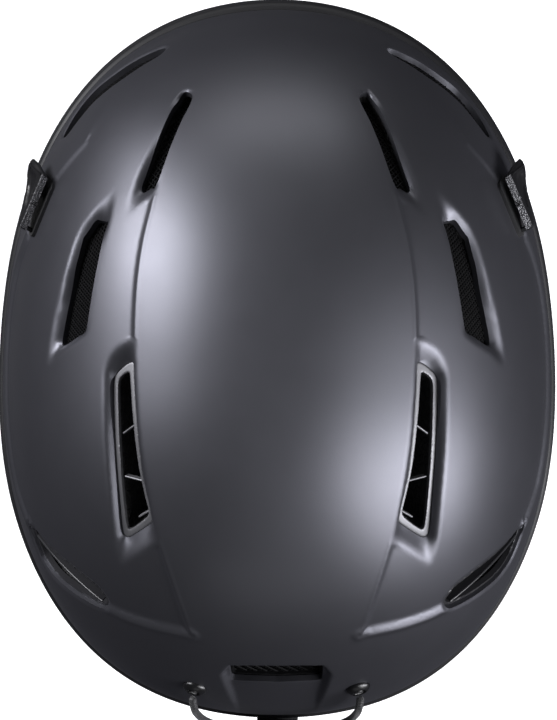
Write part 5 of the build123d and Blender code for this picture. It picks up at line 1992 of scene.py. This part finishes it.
# CAD pieces by material
CAD_LOOKS = {
    "steel": ["clip_screws", "pivot_rivet_left", "pivot_rivet_right", "magnet_base",
              "magnet_latch", "cover_screws", "knob_screw", "detent_springs"],
    "black": ["goggle_hook", "hook_catch", "strap_divider_left", "strap_divider_right",
              "strap_anchors", "ear_pad_bar_left", "ear_pad_bar_right", "buckle_base",
              "dial_cover", "height_rail"],
    "grey": ["buckle_latch", "pinion_gear", "fit_band_left", "fit_band_right", "dial_housing",
             "height_stem"],
    "rubber": ["strap_keeper"],
    "knob": ["dial_knob"],
}
CAD_UNBEVELLED = ("detent_springs", "magnet_base", "magnet_latch", "pinion_gear",
                  "ear_pad_bar_left", "ear_pad_bar_right")


def paint(o, material):
    o.data.materials.clear()
    o.data.materials.append(material)


def paint_all():
    materials = make_materials()
    for o, look in looks:
        paint(o, materials[look])
    for look, names in CAD_LOOKS.items():
        for name in names:
            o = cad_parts.get(name)
            if not o:
                continue
            paint(o, materials[look])
            if name not in CAD_UNBEVELLED:
                bevel = o.modifiers.new("edge", 'BEVEL')
                bevel.width = 0.25 * MM
                bevel.segments = 2
                bevel.limit_method = 'ANGLE'
                bevel.angle_limit = math.radians(40)


# ------------------------------------------------------------------ floor, light, camera
def floor_material():
    """pale to the camera, dark to bounced light, clear to shadows and from underneath"""
    material = bpy.data.materials.new("floor_pale")
    material.use_nodes = True
    nodes, link = material.node_tree.nodes, material.node_tree.links.new
    pale = nodes["Principled BSDF"]
    pale.inputs["Roughness"].default_value = 0.9
    pale.inputs["Emission Color"].default_value = (1, 1, 1, 1)
    pale.inputs["Emission Strength"].default_value = 0.50
    noise = nodes.new("ShaderNodeTexNoise")
    noise.inputs["Scale"].default_value = 3.0
    tint = nodes.new("ShaderNodeMix")
    tint.data_type = 'RGBA'
    tint.inputs[6].default_value = (0.86, 0.86, 0.87, 1)
    tint.inputs[7].default_value = (0.88, 0.88, 0.885, 1)
    link(noise.outputs["Fac"], tint.inputs[0])
    link(tint.outputs[2], pale.inputs["Base Color"])

    dark = nodes.new("ShaderNodeBsdfDiffuse")
    dark.inputs["Color"].default_value = (0.026, 0.026, 0.03, 1)
    ray = nodes.new("ShaderNodeLightPath")
    seen = nodes.new("ShaderNodeMixShader")
    link(ray.outputs["Is Camera Ray"], seen.inputs[0])
    link(dark.outputs[0], seen.inputs[1])
    link(pale.outputs[0], seen.inputs[2])

    geometry = nodes.new("ShaderNodeNewGeometry")
    clear = nodes.new("ShaderNodeBsdfTransparent")
    surface = nodes.new("ShaderNodeMixShader")
    either = nodes.new("ShaderNodeMath")
    either.operation = 'MAXIMUM'
    link(geometry.outputs["Backfacing"], either.inputs[0])
    link(ray.outputs["Is Shadow Ray"], either.inputs[1])
    link(either.outputs[0], surface.inputs[0])
    link(seen.outputs[0], surface.inputs[1])
    link(clear.outputs[0], surface.inputs[2])
    link(surface.outputs[0], nodes["Material Output"].inputs["Surface"])
    return material


def build_floor(scene):
    gap, half_size = 0.0005, 6.0
    low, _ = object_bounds()
    me = bpy.data.meshes.new("floor")
    bm = bmesh.new()
    bmesh.ops.create_grid(bm, x_segments=2, y_segments=2, size=half_size)
    bm.to_mesh(me)
    bm.free()
    floor = bpy.data.objects.new("floor", me)
    floor.location = (0, 0, low[2] - gap)
    scene.collection.objects.link(floor)
    floor.data.materials.append(floor_material())
    floor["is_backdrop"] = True


def build_world(scene):
    """dim light all round, and a pale backdrop where the camera sees past the floor"""
    world = scene.world or bpy.data.worlds.new("studio")
    scene.world = world
    world.use_nodes = True
    nodes, link = world.node_tree.nodes, world.node_tree.links.new
    dim = nodes.get("Background") or nodes.new("ShaderNodeBackground")
    dim.inputs["Color"].default_value = (0.9, 0.92, 1.0, 1)
    dim.inputs["Strength"].default_value = 0.030
    backdrop = nodes.new("ShaderNodeBackground")
    backdrop.inputs["Color"].default_value = (0.93, 0.93, 0.94, 1)
    backdrop.inputs["Strength"].default_value = 1.0
    ray = nodes.new("ShaderNodeLightPath")
    mix = nodes.new("ShaderNodeMixShader")
    link(ray.outputs["Is Camera Ray"], mix.inputs[0])
    link(dim.outputs[0], mix.inputs[1])
    link(backdrop.outputs[0], mix.inputs[2])
    output = next(n for n in nodes if n.type == 'OUTPUT_WORLD')
    link(mix.outputs[0], output.inputs["Surface"])


def area(scene, name, location, size, power, target=(0, 0, 0.05), colour=(1, 1, 1)):
    """rectangular light of (width, height) size aimed at the target"""
    light = bpy.data.lights.new(name, 'AREA')
    light.shape = 'RECTANGLE'
    light.size, light.size_y = size
    light.energy = power
    light.color = colour
    o = bpy.data.objects.new(name, light)
    o.location = location
    aim = Vector(target) - Vector(location)
    o.rotation_euler = aim.to_track_quat('-Z', 'Y').to_euler()
    scene.collection.objects.link(o)
    o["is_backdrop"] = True


def build_lights(scene):
    area(scene, "key_left", location=(2.10, -1.08, 1.30), target=(0, -0.02, 0.05),
         size=(1.1, 1.9), power=115, colour=(0.965, 0.965, 1.0))
    area(scene, "key_right", location=(-1.50, 1.00, 1.40), size=(1.1, 1.7), power=46,
         colour=(0.97, 0.97, 1.0))
    area(scene, "side_right", location=(-2.2, 0.75, 0.70), size=(0.8, 1.6), power=50,
         colour=(0.96, 0.96, 1.0))
    area(scene, "under_fill", location=(0.15, -0.25, -1.7), target=(0, 0, 0.0),
         size=(1.3, 1.3), power=8)
    area(scene, "front_fill", location=(0.0, -2.45, 0.70), size=(1.8, 0.9), power=13)
    area(scene, "rear_fill", location=(0.0, 2.3, 1.1), size=(1.6, 0.8), power=2.2)


def build_camera(scene):
    """looks straight down, with the helmet's front (-Y) at the top of the picture"""
    camera = bpy.data.cameras.new("cam")
    o = bpy.data.objects.new("camera", camera)
    scene.collection.objects.link(o)
    camera.lens = 407.7
    camera.sensor_width = 36
    camera.sensor_fit = 'AUTO'
    camera.shift_x = -0.06958333
    camera.shift_y = 0.0
    camera.clip_end = 50
    o.location = (-0.020, 0.0, 3.2)
    o.rotation_euler = (0, 0, math.pi)
    scene.camera = o


# ------------------------------------------------------------------ build
build_upper_shell()
build_lower_shell()
build_foam()
build_vents()
build_clips()
build_cord()
build_ear_pads()
build_lining()
build_nape_pads()
build_side_straps()
build_chin_straps()
build_chin_pad()
build_rim_trim()
paint_all()

studio = bpy.context.scene
studio.view_settings.view_transform = 'Standard'
studio.view_settings.look = 'None'
build_floor(studio)
build_world(studio)
build_lights(studio)
build_camera(studio)
